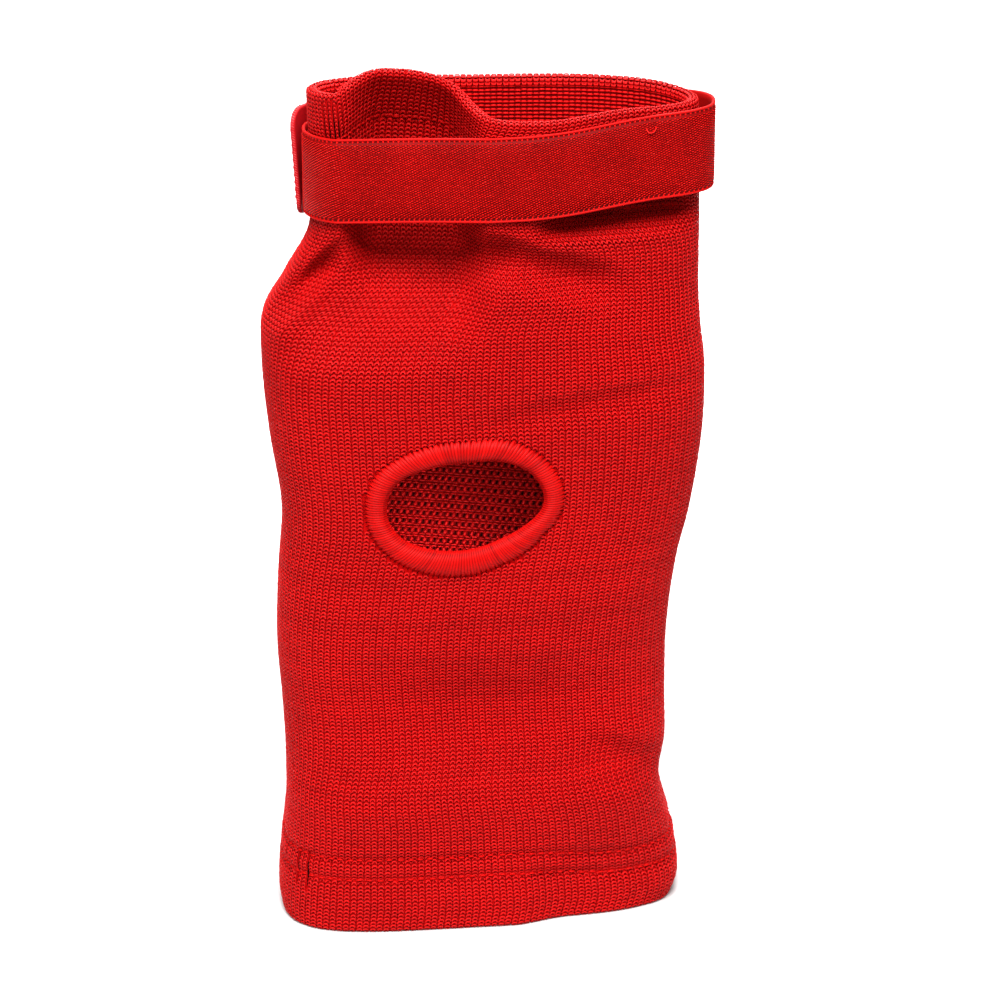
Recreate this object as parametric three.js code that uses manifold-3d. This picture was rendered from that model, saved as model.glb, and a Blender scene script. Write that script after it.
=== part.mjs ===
// Elbow guard: a knitted sleeve with a stitched oval hole, an elastic band round its top and a hook tab.
// Millimetres, +Z up. The sleeve stands on its bottom hem and its front, with the hole, faces -Y.
import * as THREE from 'three';
import { mergeVertices } from 'three/addons/utils/BufferGeometryUtils.js';
import Module from 'manifold-3d';

// Driving dimensions
const sleeveHeight = 250;
const wallThickness = 2;
const hemThickness = 3;
const hemDepth = 17;
const sideLineY = 6;
const seatGap = 0.3;
const bandWidth = 25;
const bandThickness = 1.4;
const tabHeight = 32;
const tabThickness = 1.3;
const hemEase = 4;
const sideHold = 1.5;
const weldDistance = 1e-4;
const cutStartY = -10;
const cutDepth = 40;

// Sleeve sections: side lines in X, how far the front and back walls stand from the side line,
// how much each wall turns per millimetre of width, and how square the corners are
const sections = [
  { z: 0, left: -63, right: 56.3, front: 38, back: 21, frontTurn: 0.12, backTurn: 0.1, square: 4.2 },
  { z: 7, left: -64, right: 58.6, front: 37.8, back: 21.5, frontTurn: 0.12, backTurn: 0.1, square: 4 },
  { z: 15, left: -63.7, right: 57.8, front: 37.2, back: 22, frontTurn: 0.13, backTurn: 0.1, square: 3.8 },
  { z: 38, left: -61.3, right: 52.5, front: 38.4, back: 23.2, frontTurn: 0.14, backTurn: 0.13, square: 3.5 },
  { z: 51, left: -61.4, right: 54.2, front: 35, back: 23.7, frontTurn: 0.15, backTurn: 0.14, square: 3.4 },
  { z: 65, left: -62.1, right: 53.9, front: 33.4, back: 24, frontTurn: 0.15, backTurn: 0.15, square: 3.4 },
  { z: 86, left: -63.3, right: 54.2, front: 34.2, back: 24.5, frontTurn: 0.15, backTurn: 0.16, square: 3.4 },
  { z: 108, left: -62.4, right: 56.8, front: 33, back: 25, frontTurn: 0.15, backTurn: 0.16, square: 3.4 },
  { z: 125, left: -61.1, right: 60.6, front: 32.2, back: 25, frontTurn: 0.14, backTurn: 0.16, square: 3.4 },
  { z: 150, left: -64.3, right: 64, front: 32, back: 25, frontTurn: 0.13, backTurn: 0.14, square: 3.4 },
  { z: 167, left: -66, right: 64.3, front: 32, back: 24.5, frontTurn: 0.12, backTurn: 0.12, square: 3.3 },
  { z: 181, left: -66.4, right: 62.8, front: 30.4, back: 24, frontTurn: 0.11, backTurn: 0.1, square: 3.1 },
  { z: 195, left: -59.6, right: 62, front: 27.2, back: 22.5, frontTurn: 0.09, backTurn: 0.07, square: 2.9 },
  { z: 209, left: -52.2, right: 62, front: 24, back: 20.5, frontTurn: 0.06, backTurn: 0.04, square: 2.6 },
  { z: 228, left: -51.7, right: 61.8, front: 22.5, back: 19.3, frontTurn: 0.05, backTurn: 0.02, square: 2.4 },
  { z: 250, left: -52, right: 61.3, front: 22.5, back: 18.5, frontTurn: 0.04, backTurn: 0, square: 2.4 },
];

// Folds that dent the front wall: centre, half sizes, depth, sideways lean per millimetre up,
// rise per millimetre to the right, and the share of the half width that is a flat floor
const folds = [
  {
    name: 'cinched valley', x: -21, z: 228, halfWidth: 22, halfHeight: 43,
    depth: 24, lean: 0, slope: 0, floor: 0.42,
  },
  {
    name: 'hollow under band', x: -26, z: 194, halfWidth: 32, halfHeight: 23,
    depth: 10, lean: 0.5, slope: 0, floor: 0.5,
  },
  {
    name: 'right tail of hollow', x: 16, z: 202, halfWidth: 31, halfHeight: 10,
    depth: 5.5, lean: 0, slope: -0.25, floor: 0.3,
  },
  {
    name: 'shoulder crease', x: -55, z: 194, halfWidth: 16, halfHeight: 7,
    depth: 7, lean: 0, slope: 0.85, floor: 0.3,
  },
  {
    name: 'pinch under band', x: 38, z: 218, halfWidth: 26, halfHeight: 9,
    depth: 8.5, lean: 0, slope: 0.05, floor: 0.5,
  },
  {
    name: 'elbow crease', x: 30, z: 162, halfWidth: 42, halfHeight: 7,
    depth: 1.8, lean: 0, slope: 0.136, floor: 0.2,
  },
  {
    name: 'lower sag', x: -8, z: 66, halfWidth: 54, halfHeight: 26,
    depth: 4.5, lean: 0, slope: -0.08, floor: 0,
  },
  {
    name: 'side fold', x: 44, z: 46, halfWidth: 24, halfHeight: 12,
    depth: 4.5, lean: 0, slope: -0.4, floor: 0.2,
  },
  {
    name: 'hem step', x: 36, z: 0, halfWidth: 28, halfHeight: 34,
    depth: 4, lean: 0, slope: 0, floor: 0.35,
  },
  {
    name: 'soft sag', x: 40, z: 78, halfWidth: 30, halfHeight: 36,
    depth: 2, lean: 0.3, slope: 0, floor: 0,
  },
];

// How far the top edge rises above or dips below the sleeve height along each wall
const topEdge = {
  front: [
    { x: -52, rise: 0 }, { x: -43, rise: 1.2 }, { x: -36, rise: 4.6 }, { x: -29, rise: 6.4 },
    { x: -20, rise: 6 }, { x: -12, rise: 3.6 }, { x: -6, rise: -1.8 }, { x: 0, rise: -4.4 },
    { x: 16, rise: -5.8 }, { x: 42, rise: -3 }, { x: 62, rise: -3.2 },
  ],
  back: [
    { x: -52, rise: -0.5 }, { x: -40, rise: -0.5 }, { x: -12, rise: -1 }, { x: 48, rise: -1.3 },
    { x: 62, rise: -3.2 },
  ],
};
const topEdgeReach = 60;

// Oval hole: its middle, its half sizes, and how far its stitched rim stands to each side of the wall
const hole = { x: -6.1, z: 132.8, halfX: 28.6, halfZ: 21.5, halfDepth: 2.5 };

// Inner and outer edge of the rim round the hole, as shares of the half sizes
const rimEdges = [
  { turn: 0, inner: 0.79, outer: 1 }, { turn: 30, inner: 0.81, outer: 1.035 },
  { turn: 60, inner: 0.75, outer: 1.05 }, { turn: 90, inner: 0.655, outer: 0.965 },
  { turn: 120, inner: 0.685, outer: 0.99 }, { turn: 150, inner: 0.795, outer: 1.045 },
  { turn: 180, inner: 0.8, outer: 1.015 }, { turn: 210, inner: 0.765, outer: 1.01 },
  { turn: 240, inner: 0.665, outer: 0.985 }, { turn: 270, inner: 0.6, outer: 0.955 },
  { turn: 300, inner: 0.58, outer: 0.895 }, { turn: 330, inner: 0.65, outer: 0.895 },
];

// Height of the band's middle line along its width, and how far it stands off its right turn
const bandLine = [
  { x: -53, z: 226.6 }, { x: -20, z: 228.3 }, { x: 20, z: 230.2 }, { x: 42, z: 233.4 }, { x: 66, z: 235 },
];
const bandStandOff = { from: 46, to: 62, most: 2.6 };

// Hook tab: how far it reaches back from its free end, its rounded ends, how much higher than the band
// it sits, and how far its free end flares off the band at the top and at the bottom
const tab = { reach: 23, roundedEnd: 5, raised: 1, flareTop: 1.6, flareBottom: 0.2, flareRun: 12 };

// Mesh fineness
const halfSamples = 400;
const frontColumns = 40;
const backColumns = 26;
const levels = 32;
const holeSegments = 48;
const rimSides = 10;
const hullLevels = 6;
const bandStations = 84;
const tabStations = 12;

const knitRed = new THREE.MeshStandardMaterial({ color: 0xc81818, roughness: 0.75, metalness: 0 });
const threadRed = new THREE.MeshStandardMaterial({ color: 0xe01c1b, roughness: 0.5, metalness: 0 });
const elasticRed = new THREE.MeshStandardMaterial({ color: 0xb81717, roughness: 0.7, metalness: 0 });
const hookRed = new THREE.MeshStandardMaterial({ color: 0xce1a22, roughness: 0.6, metalness: 0 });

const wasm = await Module();
wasm.setup();

// Smooth value of one column of a table at a place along its first column, with level tangents at its turns
function along(table, place, key, at) {
  const last = table.length - 1;
  let i = 0;
  while (i < last - 1 && table[i + 1][place] < at) {
    i += 1;
  }
  const slope = (k) => (table[k + 1][key] - table[k][key]) / (table[k + 1][place] - table[k][place]);
  const tangent = (k) => {
    if (k === 0 || k === last) {
      return slope(Math.min(k, last - 1));
    }
    return slope(k - 1) * slope(k) <= 0 ? 0 : (slope(k - 1) + slope(k)) / 2;
  };
  const step = table[i + 1][place] - table[i][place];
  const t = THREE.MathUtils.clamp((at - table[i][place]) / step, 0, 1);
  const rise = table[i + 1][key] - table[i][key];
  const ease = t * t * (3 - 2 * t);
  return table[i][key] + rise * ease + step * t * (1 - t) * (tangent(i) * (1 - t) - tangent(i + 1) * t);
}

// A soft bump: 1 over the floor, easing to 0 at the edge
function bump(t, floor) {
  const s = THREE.MathUtils.clamp((Math.abs(t) - floor) / (1 - floor), 0, 1);
  return (1 - s * s) ** 2;
}

function foldDepth(x, z) {
  let depth = 0;
  for (const fold of folds) {
    const across = (x - fold.x - fold.lean * (z - fold.z)) / fold.halfWidth;
    const up = (z - fold.z - fold.slope * (x - fold.x)) / fold.halfHeight;
    depth += fold.depth * bump(across, fold.floor) * bump(up, 0);
  }
  return depth;
}

// One wall of the sleeve at a height, from the left side line to the right one
function wallLine(side, z) {
  const at = (key) => along(sections, 'z', key, z);
  const middle = (at('left') + at('right')) / 2;
  const halfWidth = (at('right') - at('left')) / 2;
  const power = 2 / at('square');
  const reach = THREE.MathUtils.clamp((z - sleeveHeight + topEdgeReach) / topEdgeReach, 0, 1) ** 2;
  const points = [];
  for (let i = 0; i <= halfSamples; i++) {
    const angle = (Math.PI * i) / halfSamples;
    const across = -Math.sign(Math.cos(angle)) * Math.abs(Math.cos(angle)) ** power;
    const out = Math.abs(Math.sin(angle)) ** power;
    const x = middle + halfWidth * across;
    const turned = halfWidth * across;
    const dent = side === 'front' ? foldDepth(x, z) * Math.min(1, sideHold * out) : 0;
    const y = side === 'front'
      ? sideLineY - out * (at('front') - at('frontTurn') * turned) + dent
      : sideLineY + out * (at('back') - at('backTurn') * turned);
    points.push(new THREE.Vector3(x, y, z + reach * along(topEdge[side], 'x', 'rise', x)));
  }
  return points;
}

// The same line cut into equal steps, without its last point
function evenSteps(line, count) {
  const run = [0];
  for (let i = 1; i < line.length; i++) {
    run.push(run[i - 1] + line[i].distanceTo(line[i - 1]));
  }
  const points = [];
  let k = 0;
  for (let i = 0; i < count; i++) {
    const want = (run[run.length - 1] * i) / count;
    while (run[k + 1] < want) {
      k += 1;
    }
    const share = (want - run[k]) / (run[k + 1] - run[k]);
    points.push(new THREE.Vector3().lerpVectors(line[k], line[k + 1], share));
  }
  return points;
}

// Once round the sleeve at a height: the front from left to right, then the back from right to left
function roundAt(z) {
  return [
    ...evenSteps(wallLine('front', z), frontColumns),
    ...evenSteps(wallLine('back', z).reverse(), backColumns),
  ];
}

// A closed level loop moved outwards in plan, by one distance or by a distance at each point
function offsetLoop(loop, distanceAt) {
  return loop.map((point, i) => {
    const ahead = loop[(i + 1) % loop.length];
    const behind = loop[(i + loop.length - 1) % loop.length];
    const outward = new THREE.Vector3(ahead.y - behind.y, behind.x - ahead.x, 0).normalize();
    return point.clone().addScaledVector(outward, distanceAt(point));
  });
}

// One closed skin over a row of equal rings: endless rows meet their own start, others are capped
function skin(rings, endless) {
  const count = rings[0].length;
  const position = rings.flat().flatMap((p) => [p.x, p.y, p.z]);
  const index = [];
  const spans = endless ? rings.length : rings.length - 1;
  for (let i = 0; i < spans; i++) {
    const here = i * count;
    const next = ((i + 1) % rings.length) * count;
    for (let k = 0; k < count; k++) {
      const m = (k + 1) % count;
      index.push(here + k, here + m, next + m, here + k, next + m, next + k);
    }
  }
  if (!endless) {
    const far = (rings.length - 1) * count;
    for (let k = 1; k < count - 1; k++) {
      index.push(0, k + 1, k, far, far + k, far + k + 1);
    }
  }
  const geometry = new THREE.BufferGeometry();
  geometry.setAttribute('position', new THREE.Float32BufferAttribute(position, 3));
  geometry.setIndex(index);
  return geometry;
}

function toSolid(geometry) {
  geometry.deleteAttribute('normal');
  geometry.deleteAttribute('uv');
  const merged = mergeVertices(geometry, weldDistance);
  const vertProperties = new Float32Array(merged.attributes.position.array);
  const triVerts = new Uint32Array(merged.index.array);
  return new wasm.Manifold(new wasm.Mesh({ numProp: 3, vertProperties, triVerts }));
}

function toGeometry(solid) {
  const mesh = solid.getMesh();
  const geometry = new THREE.BufferGeometry();
  geometry.setAttribute('position', new THREE.BufferAttribute(mesh.vertProperties, 3));
  geometry.setIndex(new THREE.BufferAttribute(mesh.triVerts, 1));
  return geometry;
}

function named(name, geometry, material) {
  geometry.computeVertexNormals();
  const mesh = new THREE.Mesh(geometry, material);
  mesh.name = name;
  return mesh;
}

// A point of the rim round the hole, seen from the front, on its inner or outer edge and grown by a margin
function rimPoint(edge, share, margin) {
  const fullTurn = 360;
  const wrapped = [
    { ...rimEdges[rimEdges.length - 1], turn: rimEdges[rimEdges.length - 1].turn - fullTurn },
    ...rimEdges,
    ...rimEdges.slice(0, 2).map((row) => ({ ...row, turn: row.turn + fullTurn })),
  ];
  const reach = along(wrapped, 'turn', edge, share * fullTurn);
  const angle = 2 * Math.PI * share;
  return new THREE.Vector2(
    hole.x + (hole.halfX * reach + margin) * Math.cos(angle),
    hole.z + (hole.halfZ * reach + margin) * Math.sin(angle),
  );
}

// The depth of the front wall's outer face at a place on it
function frontFaceY(x, z) {
  const line = wallLine('front', z);
  const i = Math.max(1, line.findIndex((p) => p.x >= x));
  const share = (x - line[i - 1].x) / (line[i].x - line[i - 1].x);
  return THREE.MathUtils.lerp(line[i - 1].y, line[i].y, share);
}

// Sleeve: the outer wall up, over the rounded top edge and down the inner wall, thicker at both hems
function makeSleeve() {
  const outer = [];
  const inner = [];
  for (let i = 0; i <= levels; i++) {
    const z = (sleeveHeight * i) / levels;
    const fromEnd = Math.min(z, sleeveHeight - z);
    const hem = 1 - THREE.MathUtils.smoothstep(fromEnd, hemDepth - hemEase, hemDepth + hemEase);
    const wall = THREE.MathUtils.lerp(wallThickness, hemThickness, hem);
    const loop = roundAt(z);
    outer.push(loop);
    inner.push(offsetLoop(loop, () => -wall));
  }
  const crest = offsetLoop(outer[levels], () => -hemThickness / 2);
  crest.forEach((point) => { point.z += hemThickness / 3; });
  const tube = toSolid(skin([...outer, crest, ...inner.reverse()], true));

  const oval = new THREE.Shape();
  for (let i = 0; i < holeSegments; i++) {
    const point = rimPoint('outer', i / holeSegments, seatGap);
    if (i === 0) {
      oval.moveTo(point.x, point.y);
    } else {
      oval.lineTo(point.x, point.y);
    }
  }
  oval.closePath();
  const cutter = new THREE.ExtrudeGeometry(oval, { depth: cutDepth, bevelEnabled: false });
  cutter.rotateX(Math.PI / 2);
  cutter.translate(0, cutStartY, 0);
  return toGeometry(tube.subtract(toSolid(cutter)));
}

// Hole rim: a flattened round section swept round the oval, set in the middle of the front wall
function makeHoleRim() {
  const rings = [];
  for (let i = 0; i < holeSegments; i++) {
    const share = i / holeSegments;
    const outside = rimPoint('outer', share, 0);
    const inside = rimPoint('inner', share, 0);
    const ring = [];
    for (let k = 0; k < rimSides; k++) {
      const angle = (2 * Math.PI * k) / rimSides;
      const place = inside.clone().lerp(outside, 0.5 + 0.5 * Math.cos(angle));
      const y = frontFaceY(place.x, place.y) + wallThickness / 2 + hole.halfDepth * Math.sin(angle);
      ring.push(new THREE.Vector3(place.x, y, place.y));
    }
    rings.push(ring);
  }
  return skin(rings, true);
}

// The taut path of the band in plan: the tightest convex loop round the sleeve over the band's height
function tautLoop() {
  const points = [];
  const lowest = bandLine[0].z - bandWidth / 2;
  const highest = bandLine[bandLine.length - 1].z + bandWidth / 2;
  for (let i = 0; i <= hullLevels; i++) {
    const z = THREE.MathUtils.lerp(lowest, highest, i / hullLevels);
    points.push(...wallLine('front', z), ...wallLine('back', z));
  }
  points.sort((a, b) => a.x - b.x || a.y - b.y);
  const chain = (list) => {
    const kept = [];
    for (const p of list) {
      while (kept.length > 1) {
        const [a, b] = kept.slice(-2);
        if ((b.x - a.x) * (p.y - a.y) - (b.y - a.y) * (p.x - a.x) > 0) {
          break;
        }
        kept.pop();
      }
      kept.push(p);
    }
    return kept;
  };
  const loop = [...chain(points).slice(0, -1), ...chain([...points].reverse()).slice(0, -1)];
  const flat = loop.map((p) => new THREE.Vector3(p.x, p.y, 0));
  return evenSteps([...flat, flat[0]], bandStations);
}

const bandPath = tautLoop();
const standOff = (p) => {
  const eased = THREE.MathUtils.smoothstep(p.x, bandStandOff.from, bandStandOff.to);
  return bandStandOff.most * eased;
};

// Elastic band: a flat ribbon round the taut path, higher on the right than on the left
function makeBand() {
  const inside = offsetLoop(bandPath, (p) => seatGap + standOff(p));
  const outside = offsetLoop(bandPath, (p) => seatGap + bandThickness + standOff(p));
  const rings = bandPath.map((p, i) => {
    const middle = along(bandLine, 'x', 'z', p.x);
    const at = (point, up) => new THREE.Vector3(point.x, point.y, middle + (up * bandWidth) / 2);
    return [at(inside[i], -1), at(inside[i], 1), at(outside[i], 1), at(outside[i], -1)];
  });
  return skin(rings, true);
}

// Hook tab: a plate laid on the outside of the band, from a flared free end at its left turn towards the back
function makeHookTab() {
  const start = bandPath.reduce((best, p, i) => (p.x < bandPath[best].x ? i : best), 0);
  const turned = [...bandPath.slice(start), ...bandPath.slice(0, start)];
  const step = turned[0].distanceTo(turned[1]);
  const seat = 2 * seatGap + bandThickness;
  const placeOn = (loop, run) => {
    const at = (run / step + loop.length) % loop.length;
    const i = Math.floor(at);
    return new THREE.Vector3().lerpVectors(loop[i], loop[(i + 1) % loop.length], at - i);
  };
  const rings = [];
  for (let i = 0; i <= tabStations; i++) {
    const run = (tab.reach * i) / tabStations;
    const shy = Math.max(0, 1 - Math.min(run, tab.reach - run) / tab.roundedEnd);
    const half = tabHeight / 2 - tab.roundedEnd * (1 - Math.sqrt(1 - shy * shy));
    const flare = Math.max(0, 1 - run / tab.flareRun) ** 2;
    const middle = along(bandLine, 'x', 'z', placeOn(turned, -run).x) + tab.raised;
    const corner = (up, thickness) => {
      const lift = flare * (up > 0 ? tab.flareTop : tab.flareBottom);
      const point = placeOn(offsetLoop(turned, () => seat + lift + thickness), -run);
      return new THREE.Vector3(point.x, point.y, middle + up * half);
    };
    rings.push([corner(1, 0), corner(-1, 0), corner(-1, tabThickness), corner(1, tabThickness)]);
  }
  return skin(rings, false);
}

const elbowGuard = new THREE.Group();
elbowGuard.add(
  named('sleeve', makeSleeve(), knitRed),
  named('hole_rim', makeHoleRim(), threadRed),
  named('elastic_band', makeBand(), elasticRed),
  named('hook_tab', makeHookTab(), hookRed),
);

export default elbowGuard;
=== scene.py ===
# %% [markdown]
# # A knitted elbow guard, stitch by stitch
# The guard is a red knitted sleeve that stands on its bottom hem. It has an oval hole with an overcast rim
# at the inner elbow, and a woven elastic band, closed by a hook tab, gathers its top. The solids of the
# guard come in as a fixed frame. Each one is then replaced by a piece with the same form and with the real
# yarns on it, so the script first repeats the form and then lays yarn, thread and weave over it.

# %% Load the frame
import math

import bpy
import numpy as np
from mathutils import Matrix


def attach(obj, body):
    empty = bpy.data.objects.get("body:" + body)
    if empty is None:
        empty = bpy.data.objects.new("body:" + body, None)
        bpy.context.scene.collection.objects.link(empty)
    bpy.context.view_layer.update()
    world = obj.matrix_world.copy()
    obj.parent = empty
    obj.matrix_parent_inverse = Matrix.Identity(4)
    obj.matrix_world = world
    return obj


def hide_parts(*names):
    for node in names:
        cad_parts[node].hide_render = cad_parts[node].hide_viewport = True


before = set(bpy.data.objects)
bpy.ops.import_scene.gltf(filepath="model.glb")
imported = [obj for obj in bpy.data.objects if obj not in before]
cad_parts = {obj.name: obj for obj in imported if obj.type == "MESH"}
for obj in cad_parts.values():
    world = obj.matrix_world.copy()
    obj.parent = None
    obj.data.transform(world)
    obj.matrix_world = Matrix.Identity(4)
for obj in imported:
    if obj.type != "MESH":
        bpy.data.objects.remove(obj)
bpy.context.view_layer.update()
print("solids:", sorted(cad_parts))

# %% [markdown]
# ## Camera and light
# The photograph looks at the front from about 20 degrees above, from more than a metre away, so the camera
# has a long lens. One large soft light stands high in front and does most of the work, so that every yarn
# throws a small shadow downwards. Weak lights from both sides and from the front fill the shadows, with a
# faint pale sky. Two more brighten the floor behind the guard. A small lamp inside the sleeve stands for
# the light that comes through the thin knit: cloth that lets light through could do the same, but the
# render would need far longer.

# %% Camera
MM = 0.001
scene = bpy.context.scene
LOOK_AT = (3.9, 6.0, 123.8)
CAMERA_DISTANCE = 1125.0
CAMERA_ELEVATION = math.radians(20)

camera = bpy.data.objects.new("camera", bpy.data.cameras.new("camera"))
camera.data.lens = 135
camera.data.sensor_width = 36
camera.location = (
    LOOK_AT[0] * MM,
    (LOOK_AT[1] - CAMERA_DISTANCE * math.cos(CAMERA_ELEVATION)) * MM,
    (LOOK_AT[2] + CAMERA_DISTANCE * math.sin(CAMERA_ELEVATION)) * MM,
)
camera.rotation_euler = (math.pi / 2 - CAMERA_ELEVATION, 0, 0)
scene.collection.objects.link(camera)
scene.camera = camera
scene.view_settings.view_transform = "Standard"
print("camera at", [round(c, 3) for c in camera.location])


# %% Lights
GUARD_MIDDLE = (0, 0, 0.12)
# place in metres, size in metres, watts, aim in metres
LIGHTS = {
    "key_light": ((-0.04, -1.22, 2.18), 1.3, 126, GUARD_MIDDLE),
    "left_light": ((-1.4, -0.6, 0.7), 0.6, 3, GUARD_MIDDLE),
    "right_light": ((0.862, -0.498, 0.956), 0.5, 1.2, GUARD_MIDDLE),
    "front_light": ((0.0, -1.2, 0.6), 0.5, 1.5, GUARD_MIDDLE),
    "floor_light": ((0.0, 0.3, 0.6), 0.4, 6, (0, 0.22, 0)),
    "inner_light": ((-0.022, -0.004, 0.09), 0.02, 0.026, (-0.02, 0.03, 0.094)),
    "backdrop_light": ((0.0, 0.5, 0.8), 0.6, 24, (0, 2.2, 0)),
}
SKY_STRENGTH = 0.12


def soft_light(name, place, size, power, aim):
    """A square area light, in metres and watts, that faces its aim."""
    data = bpy.data.lights.new(name, "AREA")
    data.size = size
    data.energy = power
    lamp = bpy.data.objects.new(name, data)
    lamp.location = place
    away = np.array(place) - np.array(aim)
    lamp.rotation_euler = (
        math.atan2(math.hypot(away[0], away[1]), away[2]),
        0,
        math.atan2(away[0], -away[1]),
    )
    scene.collection.objects.link(lamp)


for light_name, light in LIGHTS.items():
    soft_light(light_name, *light)
sky = bpy.data.worlds.new("pale_sky")
sky.use_nodes = True
sky.node_tree.nodes["Background"].inputs["Color"].default_value = (1, 1, 1, 1)
sky.node_tree.nodes["Background"].inputs["Strength"].default_value = SKY_STRENGTH
scene.world = sky


# %% [markdown]
# ## Materials
# Everything on the guard is dyed the same red, so what tells the materials apart is how each surface was
# made. The knitting yarn is textured polyester: matt, a little fuzzy, bright on its crowns and painted deep
# red between the yarns, a painted shade. The overcast thread is smooth filament, so it is brighter and satin.
# The band is a flat weave of covered rubber and polyester. The tab is nylon hook tape with a woven back and
# a ribbed, slightly glossy edge. Every mesh of yarn carries a number at each point, called tone, which is
# high on a crown and low where the yarn dives under the next one, so it paints shade between the yarns. The
# materials turn it into colour, and add fibres that are too fine for a mesh.

# %% Colours and nodes
def linear(hex_colour):
    """An sRGB hex colour as linear RGBA."""
    parts = [int(hex_colour[k : k + 2], 16) / 255 for k in (1, 3, 5)]
    return tuple(p / 12.92 if p <= 0.04045 else ((p + 0.055) / 1.055) ** 2.4 for p in parts) + (1.0,)


def add(tree, kind, inputs=None, **settings):
    """One node with its settings; each input is a value, or the socket that feeds it."""
    node = tree.nodes.new(kind)
    for name, value in settings.items():
        setattr(node, name, value)
    for name, value in (inputs or {}).items():
        if isinstance(value, bpy.types.NodeSocket):
            tree.links.new(value, node.inputs[name])
        else:
            node.inputs[name].default_value = value
    return node


def blank_material(name, **shader_values):
    """A material with only a surface shader, whose plain values are set on its own sockets."""
    material = bpy.data.materials.new(name)
    material.use_nodes = True
    tree = material.node_tree
    tree.nodes.clear()
    shader = add(tree, "ShaderNodeBsdfPrincipled", shader_values)
    add(tree, "ShaderNodeOutputMaterial", {"Surface": shader.outputs["BSDF"]})
    return material, tree, shader


def set_ramp(node, stops):
    """Colour stops of a ramp, as (place, hex colour)."""
    elements = node.color_ramp.elements
    while len(elements) < len(stops):
        elements.new(0.5)
    for element, (place, hex_colour) in zip(elements, stops):
        element.position = place
        element.color = linear(hex_colour)


CLOUD_MM = 14
TONE_SPREAD = 0.16


def yarn_material(name, stops, fibre_mm, fibre_depth_mm, **shader_values):
    """Dyed yarn: colour by tone, broken up by fibres of a real size, which also roughen the surface."""
    material, tree, shader = blank_material(name, **shader_values)
    tone = add(tree, "ShaderNodeAttribute", attribute_name="tone")
    where = add(tree, "ShaderNodeTexCoord").outputs["Object"]
    fibres = add(tree, "ShaderNodeTexNoise", {"Vector": where, "Scale": 1 / (fibre_mm * MM), "Detail": 3.0})
    cloudy = add(tree, "ShaderNodeTexNoise", {"Vector": where, "Scale": 1 / (CLOUD_MM * MM), "Detail": 1.0})
    both = {0: fibres.outputs["Fac"], 1: cloudy.outputs["Fac"]}
    spread = add(tree, "ShaderNodeMath", both, operation="ADD")
    evened = {0: spread.outputs[0], 1: TONE_SPREAD, 2: -TONE_SPREAD}
    lift = add(tree, "ShaderNodeMath", evened, operation="MULTIPLY_ADD")
    mixed = add(tree, "ShaderNodeMath", {0: tone.outputs["Fac"], 1: lift.outputs[0]}, operation="ADD")
    ramp = add(tree, "ShaderNodeValToRGB", {"Fac": mixed.outputs[0]})
    set_ramp(ramp, stops)
    tree.links.new(ramp.outputs["Color"], shader.inputs["Base Color"])
    bump = add(tree, "ShaderNodeBump", {
        "Height": fibres.outputs["Fac"], "Distance": fibre_depth_mm * MM, "Strength": 0.5,
    })
    tree.links.new(bump.outputs["Normal"], shader.inputs["Normal"])
    return material


# %% Yarns and threads
# Textured polyester knitting yarn: almost without gloss, bright on the crowns and painted deep red between
# them, a painted shade.
# Its fibres are finer than 0.05 mm, so the noise is drawn coarser to show in the render.
knit_yarn = yarn_material(
    "textured_polyester_yarn",
    [(0.0, "#5c0102"), (0.5, "#ae0405"), (1.0, "#d40808")],
    0.22, 0.05,
    **{"Roughness": 0.6, "IOR": 1.5, "Specular IOR Level": 0.14},
)
# The same yarn deep inside the cloth, where little light comes back out. Its dark end is painted shade, for
# the gaps, eyelets and needle holes, and for the inside of the sleeve.
knit_ground = yarn_material(
    "polyester_knit_ground",
    [(0.0, "#140000"), (0.5, "#6c0203"), (1.0, "#b80405")],
    0.4, 0.1,
    **{"Roughness": 0.9, "IOR": 1.5, "Specular IOR Level": 0.05},
)
# Filament polyester thread: smooth fibres laid side by side, so it is brighter and has a satin highlight.
overcast_thread = yarn_material(
    "filament_polyester_thread",
    [(0.0, "#4c0102"), (0.5, "#ac0504"), (1.0, "#dc0b08")],
    0.3, 0.02,
    **{"Roughness": 0.5, "IOR": 1.55, "Specular IOR Level": 0.07},
)
# Narrow woven elastic: rubber under a flat polyester weave, duller than the knit.
elastic_weave = yarn_material(
    "woven_polyester_elastic",
    [(0.0, "#5a0303"), (0.5, "#c40a08"), (0.85, "#ff1410"), (1.0, "#ff3e38")],
    0.25, 0.02,
    **{"Roughness": 0.6, "IOR": 1.5, "Specular IOR Level": 0.07},
)
# Woven nylon hook tape: slightly glossy, with paler threads where its edge and stitches catch the light.
hook_tape = yarn_material(
    "nylon_hook_tape",
    [(0.0, "#7c0209"), (0.5, "#dc1620"), (1.0, "#ff8a8e")],
    0.5, 0.03,
    **{"Roughness": 0.55, "IOR": 1.53, "Specular IOR Level": 0.15},
)
print("materials:", [m.name for m in bpy.data.materials if m.users or m.use_nodes])

# %% [markdown]
# ## Floor
# The guard stands on a sheet of studio paper, which the photograph shows almost white. Towards the camera
# it throws too much light back up at the guard, so its colour turns to grey there. A dark card laid on the
# paper could do that too, but its edge would show.

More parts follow.
